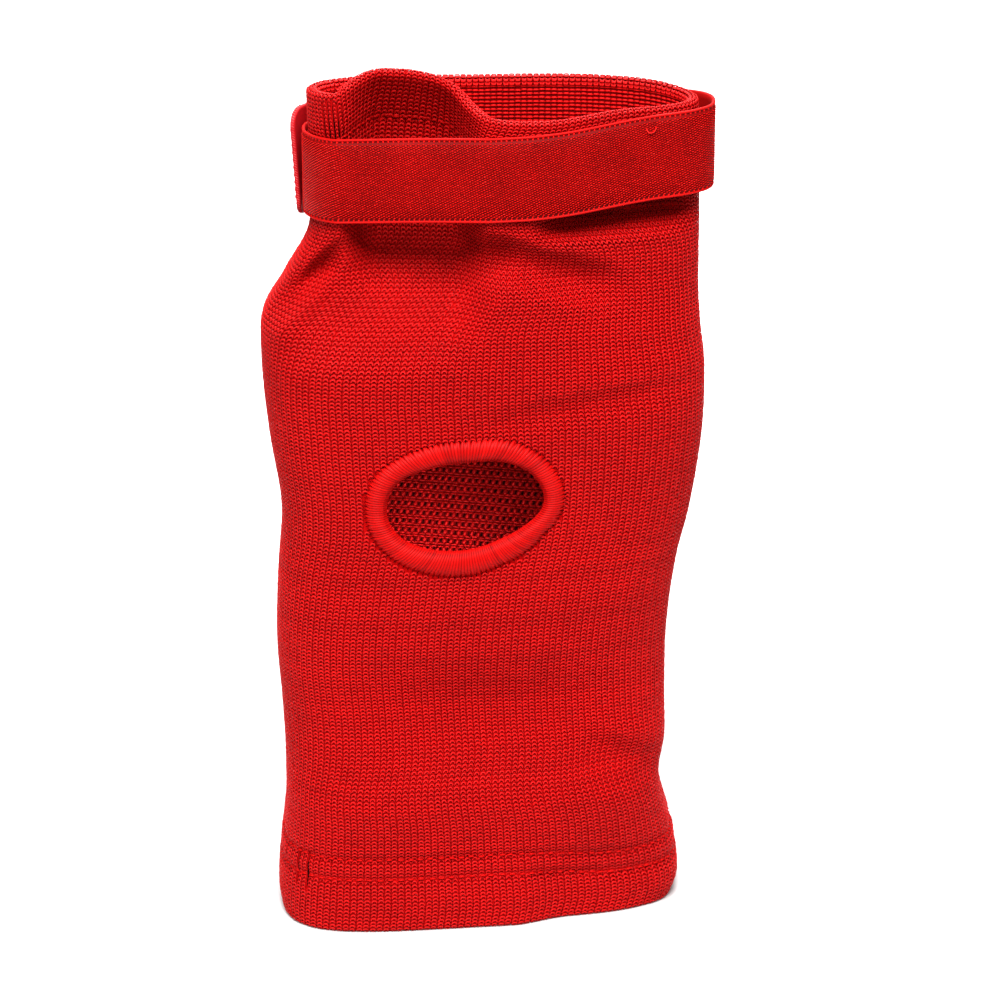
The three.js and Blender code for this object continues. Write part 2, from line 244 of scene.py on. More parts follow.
# %% Floor
# Matt studio paper: almost white, with a grain too fine to see that keeps its shade from being flat.
PAPER_GRAIN_MM = 3
GREY_FROM, GREY_TO = -0.38, -0.12
REACH = 5.0
paper, tree, shader = blank_material("matt_studio_paper", Roughness=0.9)
where = add(tree, "ShaderNodeTexCoord").outputs["Object"]
grain = add(tree, "ShaderNodeTexNoise", {"Vector": where, "Scale": 1 / (PAPER_GRAIN_MM * MM), "Detail": 2.0})
apart = add(tree, "ShaderNodeSeparateXYZ", {"Vector": where})
near = add(
    tree, "ShaderNodeMapRange", {"Value": apart.outputs["Y"], "From Min": GREY_FROM, "From Max": GREY_TO}
)
tone = add(tree, "ShaderNodeMath", {0: grain.outputs["Fac"], 1: 0.04}, operation="MULTIPLY")
shade = add(
    tree, "ShaderNodeMath", {0: near.outputs["Result"], 1: tone.outputs["Value"]}, operation="SUBTRACT"
)
ramp = add(tree, "ShaderNodeValToRGB", {"Fac": shade.outputs["Value"]})
set_ramp(ramp, [(0.0, "#6c6c6c"), (1.0, "#cfcfcf")])
tree.links.new(ramp.outputs["Color"], shader.inputs["Base Color"])

floor_mesh = bpy.data.meshes.new("floor")
floor_corners = [(-REACH, -REACH, 0), (REACH, -REACH, 0), (REACH, REACH, 0), (-REACH, REACH, 0)]
floor_mesh.from_pydata(floor_corners, [], [(0, 1, 2, 3)])
floor_mesh.materials.append(paper)
floor = bpy.data.objects.new("floor", floor_mesh)
scene.collection.objects.link(floor)
print("floor laid")

# %% [markdown]
# ## The sleeve's form
# A worn sleeve could be draped by simulation, but this one stands open and keeps the folds of its packing,
# so it is drawn the way a pattern maker would measure it: a table of sections up its height, a table of the
# folds that dent its front, and the line of its top edge. The same tables made the solid, so the cloth lies
# on it.

# %% Tables
HEIGHT = 250.0
SIDE_LINE_Y = 6.0
WALL = 2.0
HEM = 3.0
HEM_DEPTH = 17.0
HEM_EASE = 4.0
# columns: z, left, right, front, back, front turn, back turn, squareness
SECTIONS = np.array([
    (0, -63, 56.3, 38, 21, 0.12, 0.1, 4.2),
    (7, -64, 58.6, 37.8, 21.5, 0.12, 0.1, 4),
    (15, -63.7, 57.8, 37.2, 22, 0.13, 0.1, 3.8),
    (38, -61.3, 52.5, 38.4, 23.2, 0.14, 0.13, 3.5),
    (51, -61.4, 54.2, 35, 23.7, 0.15, 0.14, 3.4),
    (65, -62.1, 53.9, 33.4, 24, 0.15, 0.15, 3.4),
    (86, -63.3, 54.2, 34.2, 24.5, 0.15, 0.16, 3.4),
    (108, -62.4, 56.8, 33, 25, 0.15, 0.16, 3.4),
    (125, -61.1, 60.6, 32.2, 25, 0.14, 0.16, 3.4),
    (150, -64.3, 64, 32, 25, 0.13, 0.14, 3.4),
    (167, -66, 64.3, 32, 24.5, 0.12, 0.12, 3.3),
    (181, -66.4, 62.8, 30.4, 24, 0.11, 0.1, 3.1),
    (195, -59.6, 62, 27.2, 22.5, 0.09, 0.07, 2.9),
    (209, -52.2, 62, 24, 20.5, 0.06, 0.04, 2.6),
    (228, -51.7, 61.8, 22.5, 19.3, 0.05, 0.02, 2.4),
    (250, -52, 61.3, 22.5, 18.5, 0.04, 0, 2.4),
])
# columns: x, z, half width, half height, depth, lean of x, slope of z, floor share
FOLDS = {
    "cinched valley": (-21, 228, 22, 43, 24, 0, 0, 0.42),
    "hollow under band": (-26, 194, 32, 23, 10, 0.5, 0, 0.5),
    "right tail of hollow": (16, 202, 31, 10, 5.5, 0, -0.25, 0.3),
    "shoulder crease": (-55, 194, 16, 7, 7, 0, 0.85, 0.3),
    "pinch under band": (38, 218, 26, 9, 8.5, 0, 0.05, 0.5),
    "elbow crease": (30, 162, 42, 7, 1.8, 0, 0.136, 0.2),
    "lower sag": (-8, 66, 54, 26, 4.5, 0, -0.08, 0),
    "side fold": (44, 46, 24, 12, 4.5, 0, -0.4, 0.2),
    "hem step": (36, 0, 28, 34, 4, 0, 0, 0.35),
    "soft sag": (40, 78, 30, 36, 2, 0.3, 0, 0),
}
# columns: x, rise of the top edge
TOP_EDGE = {
    "front": np.array([
        (-52, 0), (-43, 1.2), (-36, 4.6), (-29, 6.4), (-20, 6), (-12, 3.6), (-6, -1.8), (0, -4.4), (16, -5.8),
        (42, -3), (62, -3.2),
    ]),
    "back": np.array([(-52, -0.5), (-40, -0.5), (-12, -1), (48, -1.3), (62, -3.2)]),
}
TOP_EDGE_REACH = 60.0
EDGE_HOLD = 1.5
print(len(SECTIONS), "sections,", len(FOLDS), "folds")


# %% One wall of the sleeve
def smooth(table, at):
    """Every other column of a table at places along its first, eased, with level tangents at its turns."""
    knots, values = table[:, 0], table[:, 1:]
    steps = np.diff(knots)
    slopes = np.diff(values, axis=0) / steps[:, None]
    tangents = np.vstack([slopes[:1], (slopes[1:] + slopes[:-1]) / 2, slopes[-1:]])
    tangents[1:-1][slopes[1:] * slopes[:-1] <= 0] = 0
    i = np.clip(np.searchsorted(knots, at) - 1, 0, len(knots) - 2)
    step = steps[i][..., None]
    t = np.clip((at - knots[i]) / steps[i], 0, 1)[..., None]
    rise = values[i + 1] - values[i]
    swing = step * t * (1 - t) * (tangents[i] * (1 - t) - tangents[i + 1] * t)
    return values[i] + rise * t * t * (3 - 2 * t) + swing


def soft_bump(t, floor_share):
    """1 over the floor, easing to 0 at the edge."""
    s = np.clip((np.abs(t) - floor_share) / (1 - floor_share), 0, 1)
    return (1 - s * s) ** 2


def fold_depth(x, z):
    """How far the folds push the front wall in."""
    depth = np.zeros_like(x)
    for fx, fz, half_width, half_height, most, lean, slope, floor_share in FOLDS.values():
        across = soft_bump((x - fx - lean * (z - fz)) / half_width, floor_share)
        depth += most * across * soft_bump((z - fz - slope * (x - fx)) / half_height, 0)
    return depth


def wall_lines(side, heights, samples=500):
    """The outer face of the front or back wall at each height, from the left side line to the right one."""
    columns = np.moveaxis(smooth(SECTIONS, heights), -1, 0)[..., None]
    left, right, front, back, front_turn, back_turn, square = columns
    angle = np.linspace(0, np.pi, samples)
    across = -np.sign(np.cos(angle)) * np.abs(np.cos(angle)) ** (2 / square)
    out = np.abs(np.sin(angle)) ** (2 / square)
    turned = (right - left) / 2 * across
    x = (left + right) / 2 + turned
    z = np.broadcast_to(heights[:, None], x.shape)
    if side == "front":
        dent = fold_depth(x, z) * np.minimum(1, EDGE_HOLD * out)
        y = SIDE_LINE_Y - out * (front - front_turn * turned) + dent
    else:
        y = SIDE_LINE_Y + out * (back - back_turn * turned)
    reach = np.clip((z - HEIGHT + TOP_EDGE_REACH) / TOP_EDGE_REACH, 0, 1) ** 2
    return np.stack([x, y, z + reach * smooth(TOP_EDGE[side], x)[..., 0]], -1)


def even_steps(line, count):
    """A line cut into equal steps, without its last point."""
    run = np.r_[0, np.cumsum(np.linalg.norm(np.diff(line, axis=0), axis=1))]
    want = run[-1] * np.arange(count) / count
    return np.stack([np.interp(want, run, line[:, k]) for k in range(line.shape[1])], -1)


def cloth_thickness(heights):
    """The thickness of the cloth at each height: the hems are thicker than the wall."""
    from_end = np.minimum(heights, HEIGHT - heights)
    hem = np.clip((HEM_DEPTH + HEM_EASE - from_end) / (2 * HEM_EASE), 0, 1)
    return WALL + (HEM - WALL) * hem * hem * (3 - 2 * hem)


print("the cloth is", cloth_thickness(np.array([0, HEIGHT / 2])), "mm thick at a hem and at the middle")

# %% The whole tube, as a fine grid
FRONT_COLUMNS = 480
BACK_COLUMNS = 440
COLUMNS = FRONT_COLUMNS + BACK_COLUMNS
LEVEL_STEP = 0.5

level_heights = np.arange(0, HEIGHT + LEVEL_STEP / 2, LEVEL_STEP)
front_lines = wall_lines("front", level_heights)
back_lines = wall_lines("back", level_heights)[:, ::-1]
tube = np.concatenate([
    np.array([even_steps(line, FRONT_COLUMNS) for line in front_lines]),
    np.array([even_steps(line, BACK_COLUMNS) for line in back_lines]),
], axis=1)


def plan_outward(loops):
    """The level direction out of each closed loop, at every point."""
    along = np.roll(loops, -1, axis=-2) - np.roll(loops, 1, axis=-2)
    out = np.stack([along[..., 1], -along[..., 0], np.zeros(along.shape[:-1])], -1)
    return out / np.linalg.norm(out, axis=-1, keepdims=True)


tube_outward = plan_outward(tube)
front_girth = np.linalg.norm(np.diff(front_lines, axis=1), axis=2).sum(1)
back_girth = np.linalg.norm(np.diff(back_lines, axis=1), axis=2).sum(1)
print("girth in mm: front", front_girth[::100].round(1), "back", back_girth[::100].round(1))

# %% [markdown]
# ## Hems
# Both ends of the sleeve are turned in and sewn, the bottom with two rows of stitches and the top with one.
# Each row pulls the cloth in a little, which notches the outline. A bump in the shader could only shade
# that, so the rows are part of the form: the outer face is a grid of points that runs over both hems, and
# each row moves it.

# %% Rows of stitching
SINK_LEVEL = 40
BOTTOM_ROWS = (16.8, 23.5)
TOP_ROWS = (HEIGHT - 12.0,)
ROW_SINKS = {"from": 5.0, "to": 45.0, "by": 3.4}
HEM_PULL = {"bottom": 0.8, "top": 0.3}
HEM_PULL_HALF_WIDTH = 1.7
HEM_RADIUS = HEM / 2
TOP_START = HEIGHT - 0.5
sink_share = (tube[SINK_LEVEL, :, 0] - ROW_SINKS["from"]) / (ROW_SINKS["to"] - ROW_SINKS["from"])
sink_share = np.clip(sink_share, 0, 1)
row_sink = ROW_SINKS["by"] * sink_share * sink_share * (3 - 2 * sink_share)


def hem_pull(heights):
    """How far the hem stitching pulls the outer face in, at each height and column."""
    level = heights[:, None]
    rows = [(HEM_PULL["bottom"], row - row_sink[None]) for row in BOTTOM_ROWS]
    rows += [(HEM_PULL["top"], np.full((1, COLUMNS), row)) for row in TOP_ROWS]
    return sum(pull * np.exp(-(((level - row) / HEM_PULL_HALF_WIDTH) ** 2)) for pull, row in rows)


def tube_rows(heights, insets, lifts):
    """Loops round the tube at the given heights, moved in level and lifted."""
    place = np.clip(np.asarray(heights) / LEVEL_STEP, 0, len(level_heights) - 1)
    i = np.minimum(place.astype(int), len(level_heights) - 2)
    t = (place - i)[:, None, None]
    loops = tube[i] * (1 - t) + tube[i + 1] * t
    outward = tube_outward[i] * (1 - t) + tube_outward[i + 1] * t
    loops = loops - outward * np.asarray(insets).reshape(len(place), -1)[..., None]
    loops[..., 2] += np.asarray(lifts)[:, None]
    return loops


print("stitch rows at", BOTTOM_ROWS + TOP_ROWS, "mm, sunk by up to", round(float(row_sink.max()), 1), "mm")

# %% The outer face, from under the bottom hem to the end of the top hem inside
INSIDE_DEPTH = 15.0
under = np.radians(np.linspace(-90, 0, 6)[:-1])
over = np.radians(np.linspace(0, 180, 13))
wall_heights = np.arange(HEM_RADIUS, TOP_START, LEVEL_STEP)
inside_heights = np.arange(TOP_START - LEVEL_STEP, TOP_START - INSIDE_DEPTH, -LEVEL_STEP)
cloth_heights = np.r_[
    np.full(len(under), HEM_RADIUS), wall_heights, np.full(len(over), TOP_START), inside_heights
]
cloth_parts = (
    HEM_RADIUS * (1 - np.cos(under)), hem_pull(wall_heights),
    HEM_RADIUS * (1 - np.cos(over)), np.full(len(inside_heights), HEM),
)
cloth_insets = np.concatenate([
    np.broadcast_to(part.reshape(len(part), -1), (len(part), COLUMNS)) for part in cloth_parts
])
cloth_lifts = np.r_[
    HEM_RADIUS * np.sin(under), np.zeros(len(wall_heights)),
    HEM_RADIUS * np.sin(over), np.zeros(len(inside_heights)),
]
cloth_run = np.r_[
    HEM_RADIUS * (1 + under), wall_heights, TOP_START + HEM_RADIUS * over,
    TOP_START + HEM_RADIUS * np.pi + (TOP_START - inside_heights),
]
cloth = tube_rows(cloth_heights, cloth_insets, cloth_lifts)
cloth_across = np.roll(cloth, -1, axis=1) - np.roll(cloth, 1, axis=1)
cloth_normal = np.cross(cloth_across, np.gradient(cloth, axis=0))
cloth_normal /= np.linalg.norm(cloth_normal, axis=-1, keepdims=True)
print("cloth grid", cloth.shape[:2], "runs over", round(float(cloth_run[-1] - cloth_run[0]), 1), "mm")


def sample(grid, row, column):
    """Values of a grid that closes on itself sideways, between its points."""
    i = np.clip(np.floor(row).astype(int), 0, grid.shape[0] - 2)
    t = (row - i)[..., None]
    j = np.floor(column).astype(int)
    s = (column - j)[..., None]
    j, k = j % grid.shape[1], (j + 1) % grid.shape[1]
    low = grid[i, j] * (1 - s) + grid[i, k] * s
    high = grid[i + 1, j] * (1 - s) + grid[i + 1, k] * s
    return low * (1 - t) + high * t


def on_cloth(column, run, height):
    """Points at a height off the outer face of the cloth."""
    row = np.interp(run, cloth_run, np.arange(len(cloth_run)))
    return sample(cloth, row, column) + sample(cloth_normal, row, column) * height[..., None]


# %% [markdown]
# ## Pieces from arrays
# A knit has tens of thousands of stitches. Made one by one in Blender they would take hours, so each kind
# of stitch is worked out once as a short strand, copied with arrays to every place, and put in one mesh.

# %% Meshes from arrays
def make_piece(name, points, faces, tone, material, node, uv=None):
    """A smooth piece of the guard from points in millimetres, that stands for one of the solids."""
    mesh = bpy.data.meshes.new(name)
    mesh.vertices.add(len(points))
    mesh.vertices.foreach_set("co", (points * MM).astype(np.float32).ravel())
    mesh.loops.add(faces.size)
    mesh.loops.foreach_set("vertex_index", faces.astype(np.int32).ravel())
    mesh.polygons.add(len(faces))
    mesh.polygons.foreach_set("loop_start", np.arange(0, faces.size, faces.shape[1], dtype=np.int32))
    mesh.update(calc_edges=True)
    mesh.shade_smooth()
    mesh.attributes.new("tone", "FLOAT", "POINT").data.foreach_set("value", tone.astype(np.float32))
    if uv is not None:
        mesh.uv_layers.new(name="OFBake").data.foreach_set("uv", uv.astype(np.float32).ravel())
    mesh.materials.append(material)
    piece = bpy.data.objects.new(name, mesh)
    scene.collection.objects.link(piece)
    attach(piece, "root")
    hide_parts(node)
    triangles = len(faces) * (faces.shape[1] - 2)
    print(f"{name}: {len(points)} points, {triangles} triangles, valid {not mesh.validate()}")
    return piece


def closed_quads(rows, columns):
    """The faces of a grid of points that closes on itself both ways."""
    i, k = np.meshgrid(np.arange(rows), np.arange(columns), indexing="ij")
    i2, k2 = (i + 1) % rows, (k + 1) % columns
    return np.stack([i * columns + k, i * columns + k2, i2 * columns + k2, i2 * columns + k], -1)


# %% A strand of yarn
MITRE_LIMIT = 0.7
# The feet and ends of a strand, where the yarn dives under the next, get a lower tone than its crown: painted
# shade between the yarns.
FOOT_TONE, END_TONE = 0.5, 0.6
# start and length in a strand's own square of the texture: its top on the left, its underside on the right
TOP_ACROSS, UNDER_ACROSS, TEXTURE_UP = (0.03, 0.62), (0.70, 0.27), (0.03, 0.94)


def strand(line, widths, tops, foot, tip):
    """A short strand over a line of (across, up) points: pointed at both ends, three-sided between them."""
    line = np.array(line, float)
    steps = np.diff(line, axis=0)
    steps /= np.linalg.norm(steps, axis=1, keepdims=True)
    side = np.stack([-steps[:, 1], steps[:, 0]], 1)
    mitre = side[1:] + side[:-1]
    mitre /= np.maximum(MITRE_LIMIT, (mitre * mitre).sum(1, keepdims=True) / 2)
    rings = len(mitre)
    widths, tops = np.broadcast_to(widths, rings), np.broadcast_to(tops, rings)
    points, tone = [(*line[0], tip)], [END_TONE]
    for centre, across, top in zip(line[1:-1], mitre * widths[:, None], tops):
        points += [(*(centre - across), foot), (*centre, top), (*(centre + across), foot)]
        tone += [FOOT_TONE, 1.0, FOOT_TONE]
    points.append((*line[-1], tip))
    tone.append(END_TONE)
    faces, under = [], []
    for k in range(rings - 1):
        r, a, l = 1 + 3 * k, 2 + 3 * k, 3 + 3 * k
        for p, q in ((r, a), (a, l), (l, r)):
            faces += [(p, p + 3, q + 3), (p, q + 3, q)]
            under += [p == l] * 2
    last, first = len(points) - 1, 3 * rings - 2
    faces += [(0, 1, 2), (0, 2, 3), (0, 3, 1)]
    faces += [(last, first + 1, first), (last, first + 2, first + 1), (last, first, first + 2)]
    under += [False, False, True] * 2
    points, faces = np.array(points), np.array(faces)
    flat = (points[:, :2] - points[:, :2].min(0)) / np.ptp(points[:, :2], axis=0)
    corner = flat[faces]
    start, length = np.where(np.array(under)[:, None], UNDER_ACROSS, TOP_ACROSS).T
    corner[..., 0] = start[:, None] + length[:, None] * corner[..., 0]
    corner[..., 1] = TEXTURE_UP[0] + TEXTURE_UP[1] * corner[..., 1]
    return {"points": points, "tone": np.array(tone), "faces": faces, "corner": corner}


def lay_strands(name, kind, place, tone, material, node):
    """One mesh of many strands: place gives every strand's points, and tone how bright each strand is."""
    count, size = len(place), len(kind["points"])
    faces = (kind["faces"][None] + size * np.arange(count)[:, None, None]).reshape(-1, 3)
    cells = math.ceil(math.sqrt(count))
    cell = np.stack([np.arange(count) % cells, np.arange(count) // cells], -1)
    uv = (kind["corner"][None] + cell[:, None, None]) / cells
    shade = (kind["tone"][None] * tone[:, None]).ravel()
    return make_piece(name, place.reshape(-1, 3), faces, shade, material, node, uv)


rng = np.random.default_rng(20)
arch = strand([(0, 0), (1, 0), (2, 1), (3, 0), (4, 0)], 0.3, 0.2, 0, 0)
print("a strand with 3 bends has", len(arch["faces"]), "triangles")

# %% [markdown]
# ## Sleeve wall
# Behind the yarns the cloth is a closed wall with an outer and an inner face, joined round both hems and
# round the oval hole. It carries the folds and keeps light from passing between the stitches. A boolean
# could cut the hole, but it leaves slivers, so the cells inside the oval are left out and the points round
# them are moved onto it. The outer face lies half a millimetre under the crowns of the yarn, so that the
# knit reaches the real size.

# %% The oval hole
HOLE = {"x": -6.1, "z": 132.8, "half_x": 28.6, "half_z": 21.5, "depth": 2.5}
# columns: turn round the hole in degrees, inner and outer edge of the rim as shares of the half sizes
RIM = np.array([
    (0, 0.79, 1.0), (30, 0.81, 1.035), (60, 0.75, 1.05), (90, 0.655, 0.965), (120, 0.685, 0.99),
    (150, 0.795, 1.045), (180, 0.80, 1.015), (210, 0.765, 1.01), (240, 0.665, 0.985), (270, 0.60, 0.955),
    (300, 0.58, 0.895), (330, 0.65, 0.895),
])
rim_wrapped = np.vstack([RIM[-2:] - (360, 0, 0), RIM, RIM[:2] + (360, 0, 0)])


def rim_share(angle, mix):
    """The reach of the rim at an angle: its inner edge for mix 0 and its outer edge for mix 1."""
    edges = smooth(rim_wrapped, np.degrees(angle) % 360)
    return edges[..., 0] * (1 - mix) + edges[..., 1] * mix


def oval(angle, mix):
    """Points (x, z) on the rim, seen from the front."""
    reach = rim_share(angle, mix)
    across, up = HOLE["half_x"] * reach * np.cos(angle), HOLE["half_z"] * reach * np.sin(angle)
    return np.stack([HOLE["x"] + across, HOLE["z"] + up], -1)


def oval_reach(x, z, mix):
    """How far out a point is: 1 on the rim."""
    across, up = (x - HOLE["x"]) / HOLE["half_x"], (z - HOLE["z"]) / HOLE["half_z"]
    return np.hypot(across, up) / rim_share(np.arctan2(up, across), mix)


FACE_STEP = 0.5
FACE_HEIGHTS = (90, 175)
face_x = np.arange(-48, 40, FACE_STEP)
round_hole = slice(*(round(z / LEVEL_STEP) for z in FACE_HEIGHTS))
face_z = level_heights[round_hole]
face_y = np.array([np.interp(face_x, line[:, 0], line[:, 1]) for line in front_lines[round_hole]])


def front_face_y(x, z):
    """The depth of the front wall's outer face round the hole."""
    row, column = (z - face_z[0]) / LEVEL_STEP, (x - face_x[0]) / FACE_STEP
    return sample(face_y[..., None], row, column)[..., 0]


hole_left, hole_right = oval(np.array([np.pi, 0.0]), 0)
print("the hole is", round(float(hole_right[0] - hole_left[0]), 1), "mm wide inside its rim")


# %% Closed wall
YARN_DEPTH = 0.5
WALL_COLUMN_STEP = 4
WALL_ROWS = 91
ROUND_STEPS = 8
mid_heights = np.linspace(HEM_RADIUS, TOP_START, WALL_ROWS)
under_wall = np.radians(np.linspace(-180, 0, ROUND_STEPS + 1)[1:-1])
over_wall = np.radians(np.linspace(0, 180, ROUND_STEPS + 1)[1:-1])
round_radius = (HEM - YARN_DEPTH) / 2


def round_rows(height, angles):
    """The rounded edge of a hem, outwards from its middle at each angle."""
    insets = YARN_DEPTH + round_radius * (1 - np.cos(angles))
    return tube_rows(np.full(len(angles), height), insets, round_radius * np.sin(angles))


outer_wall, inner_wall, top_round, bottom_round = (rows[:, ::WALL_COLUMN_STEP].copy() for rows in (
    tube_rows(mid_heights, YARN_DEPTH + hem_pull(mid_heights), 0 * mid_heights),
    tube_rows(mid_heights, cloth_thickness(mid_heights), 0 * mid_heights),
    round_rows(TOP_START, over_wall),
    round_rows(HEM_RADIUS, under_wall),
))
print("each face of the wall has", WALL_ROWS, "rows of", outer_wall.shape[1], "points")

# %% The hole in the wall
CUT = 0.5
# A cell is left out where at least this many of its four corners are inside the oval.
CORNERS_INSIDE = 3
front_half = np.arange(outer_wall.shape[1]) < FRONT_COLUMNS // WALL_COLUMN_STEP
reach = oval_reach(outer_wall[..., 0], outer_wall[..., 2], CUT)
inside_hole = (reach < 1) & front_half[None]
beside = np.roll(inside_hole, -1, axis=1)
corners_in = inside_hole[:-1].astype(int) + inside_hole[1:] + beside[:-1] + beside[1:]
cell_open = corners_in >= CORNERS_INSIDE
touches_open = np.zeros_like(inside_hole)
touches_shut = np.zeros_like(inside_hole)
for rows in (slice(0, -1), slice(1, None)):
    for turn in (0, 1):
        touches_open[rows] |= np.roll(cell_open, turn, axis=1)
        touches_shut[rows] |= ~np.roll(cell_open, turn, axis=1)
edge_point = touches_open & touches_shut
for wall, depth in ((outer_wall, YARN_DEPTH), (inner_wall, WALL)):
    x, z = wall[edge_point][:, 0], wall[edge_point][:, 2]
    scale = 1 / oval_reach(x, z, CUT)
    x, z = HOLE["x"] + (x - HOLE["x"]) * scale, HOLE["z"] + (z - HOLE["z"]) * scale
    wall[edge_point] = np.stack([x, front_face_y(x, z) + depth, z], -1)
print(int(cell_open.sum()), "cells left out,", int(edge_point.sum()), "points moved onto the oval")

# %% Faces of the wall
loops = np.concatenate([outer_wall, top_round, inner_wall[::-1], bottom_round])
rows, columns = loops.shape[:2]
quads = closed_quads(rows, columns)
shown = np.ones((rows, columns), bool)
levels = len(mid_heights)
shown[: levels - 1] &= ~cell_open
inner_first = levels + len(over_wall)
shown[inner_first : inner_first + levels - 1] &= ~cell_open[::-1]
bridges = []
for i, j in np.argwhere(cell_open):
    k = (j + 1) % columns
    sides = (
        ((i, j), (i, k), i - 1, j), ((i, k), (i + 1, k), i, k),
        ((i + 1, k), (i + 1, j), i + 1, j), ((i + 1, j), (i, j), i, (j - 1) % columns),
    )
    for a, b, ni, nj in sides:
        if not cell_open[ni, nj]:
            a_in, b_in = ((inner_first + levels - 1 - p[0]) * columns + p[1] for p in (a, b))
            bridges.append((a[0] * columns + a[1], b[0] * columns + b[1], b_in, a_in))
wall_faces = np.concatenate([quads[shown], np.array(bridges)])
used = np.unique(wall_faces)
renumber = np.zeros(rows * columns, int)
renumber[used] = np.arange(len(used))
# The wall's inner face gets a lower tone than its outer face: painted shade inside the sleeve.
INNER_TONE = 0.45
wall_tone = np.ones((rows, columns))
wall_tone[levels + len(over_wall) // 2 : inner_first + levels] = INNER_TONE
sleeve_wall = make_piece(
    "sleeve_wall", loops.reshape(-1, 3)[used], renumber[wall_faces], wall_tone.ravel()[used], knit_ground,
    "sleeve",
)

# %% [markdown]
# ## The knit
# The face of the cloth is plain knitting: columns of loops, called wales, about 2 mm apart, with a new row,
# called a course, every 1.15 mm. A pattern in a shader could hint at that, but close up the eye looks for
# the way that each loop arches up and dives under the next. So every loop is a small strand of its own,
# bent into an arch and laid on the curved cloth, over the top edge and into the hem. At the back, which is
# seen less, it has fewer bends.

# %% One stitch
WALE = 2.05
COURSE = 1.15
FRONT_WALES = 84
BACK_WALES = 72
FINE_LOOP = strand(
    [(-0.84, -0.7), (-0.72, -0.1), (-0.38, 0.42), (0.38, 0.42), (0.72, -0.1), (0.84, -0.7)],
    [0.4, 0.32, 0.32, 0.4], [0.05, 0.07, 0.07, 0.05], -0.13, -0.2,
)
PLAIN_LOOP = strand([(-0.88, -0.62), (-0.6, 0.34), (0.6, 0.34), (0.88, -0.62)], 0.42, 0.07, -0.13, -0.2)
print("one loop:", len(FINE_LOOP["faces"]), "triangles in front,", len(PLAIN_LOOP["faces"]), "at the back")

# %% Where the cloth gapes
# columns: share of the front girth, lowest run, highest run, how far the gap opens
SLITS = [
    (0.202, 13, 24, 1.0), (0.226, 12, 24, 1.0), (0.155, 17, 27, 0.7), (0.0952, 226, 249, 0.9),
    (0.107, 224, 250, 1.0), (0.119, 224, 250, 1.0), (0.131, 224, 249, 1.0), (0.143, 224, 247, 0.8),
]
SLIT_NARROWS = 0.45


def slit_pull(boundary, run):
    """How far the wales on both sides of a boundary are drawn apart at each run, 0 to 1."""
    pull = np.zeros(np.broadcast(boundary, run).shape)
    for share, low, high, most in SLITS:
        at = np.round(share * FRONT_WALES)
        pull = np.maximum(pull, np.where((boundary == at) & (run > low) & (run < high), most, 0))
    return pull


print(len(SLITS), "places where two wales part")


# %% Lighter and darker places
# Where the knit is stretched a little more it looks lighter, in patches and in bands that drift sideways.
# columns: depth of tone, mm per radian across and up
PATCHES = (0.06, 13, 17)
BANDS = (0.05, 31, 9)
PATCH_START = (1.3, 0.4)
# In the pinch under the band's right the loops are painted darker: painted shade where the band shadows the
# fold.
PINCH_SHADE = {"x": 40.0, "half_width": 19.0, "z": 216.5, "half_height": 4.5, "slope": 0.09, "dark": 0.6}


def stretch_tone(x, z):
    """How much lighter or darker the knit looks where it is stretched or slack."""
    depth, across, up = PATCHES
    patches = depth * np.sin(x / across + PATCH_START[0]) * np.sin(z / up + PATCH_START[1])
    depth, across, up = BANDS
    return patches + depth * np.sin(z / up + x / across)


def pinch_shade(x, z):
    """The share of its tone that a loop keeps under the painted shade in the pinch."""
    across = (x - PINCH_SHADE["x"]) / PINCH_SHADE["half_width"]
    up = (z - PINCH_SHADE["z"] - PINCH_SHADE["slope"] * (x - PINCH_SHADE["x"])) / PINCH_SHADE["half_height"]
    return 1 - PINCH_SHADE["dark"] * np.exp(-(across**4) - up**2)


kept_tone = float(pinch_shade(PINCH_SHADE["x"], PINCH_SHADE["z"]))
print("a loop in the middle of the pinch keeps", round(kept_tone, 2), "of its tone")

# %% All the stitches
RIM_CLEAR = 1.02
TOP_LIFT = 0.5
WAVE_MM, WAVE_TURN = 9.0, 2.4
KNIT_TONE, TONE_LIMITS = 0.9, (0.6, 1.1)
# how unevenly the stitches lie, in mm, and how uneven their width and tone are, as shares
UNEVEN = {"wave": 0.05, "across": 0.04, "width": 0.04, "up": 0.03, "off": 0.03, "tone": 0.06, "course": 0.07}
courses = np.arange(-0.4, TOP_START + HEM_RADIUS * np.pi + 0.8, COURSE)
slack = np.convolve(rng.standard_normal(len(courses)), [0.25, 0.5, 0.25], "same")
course_slack = 1 + UNEVEN["course"] * slack


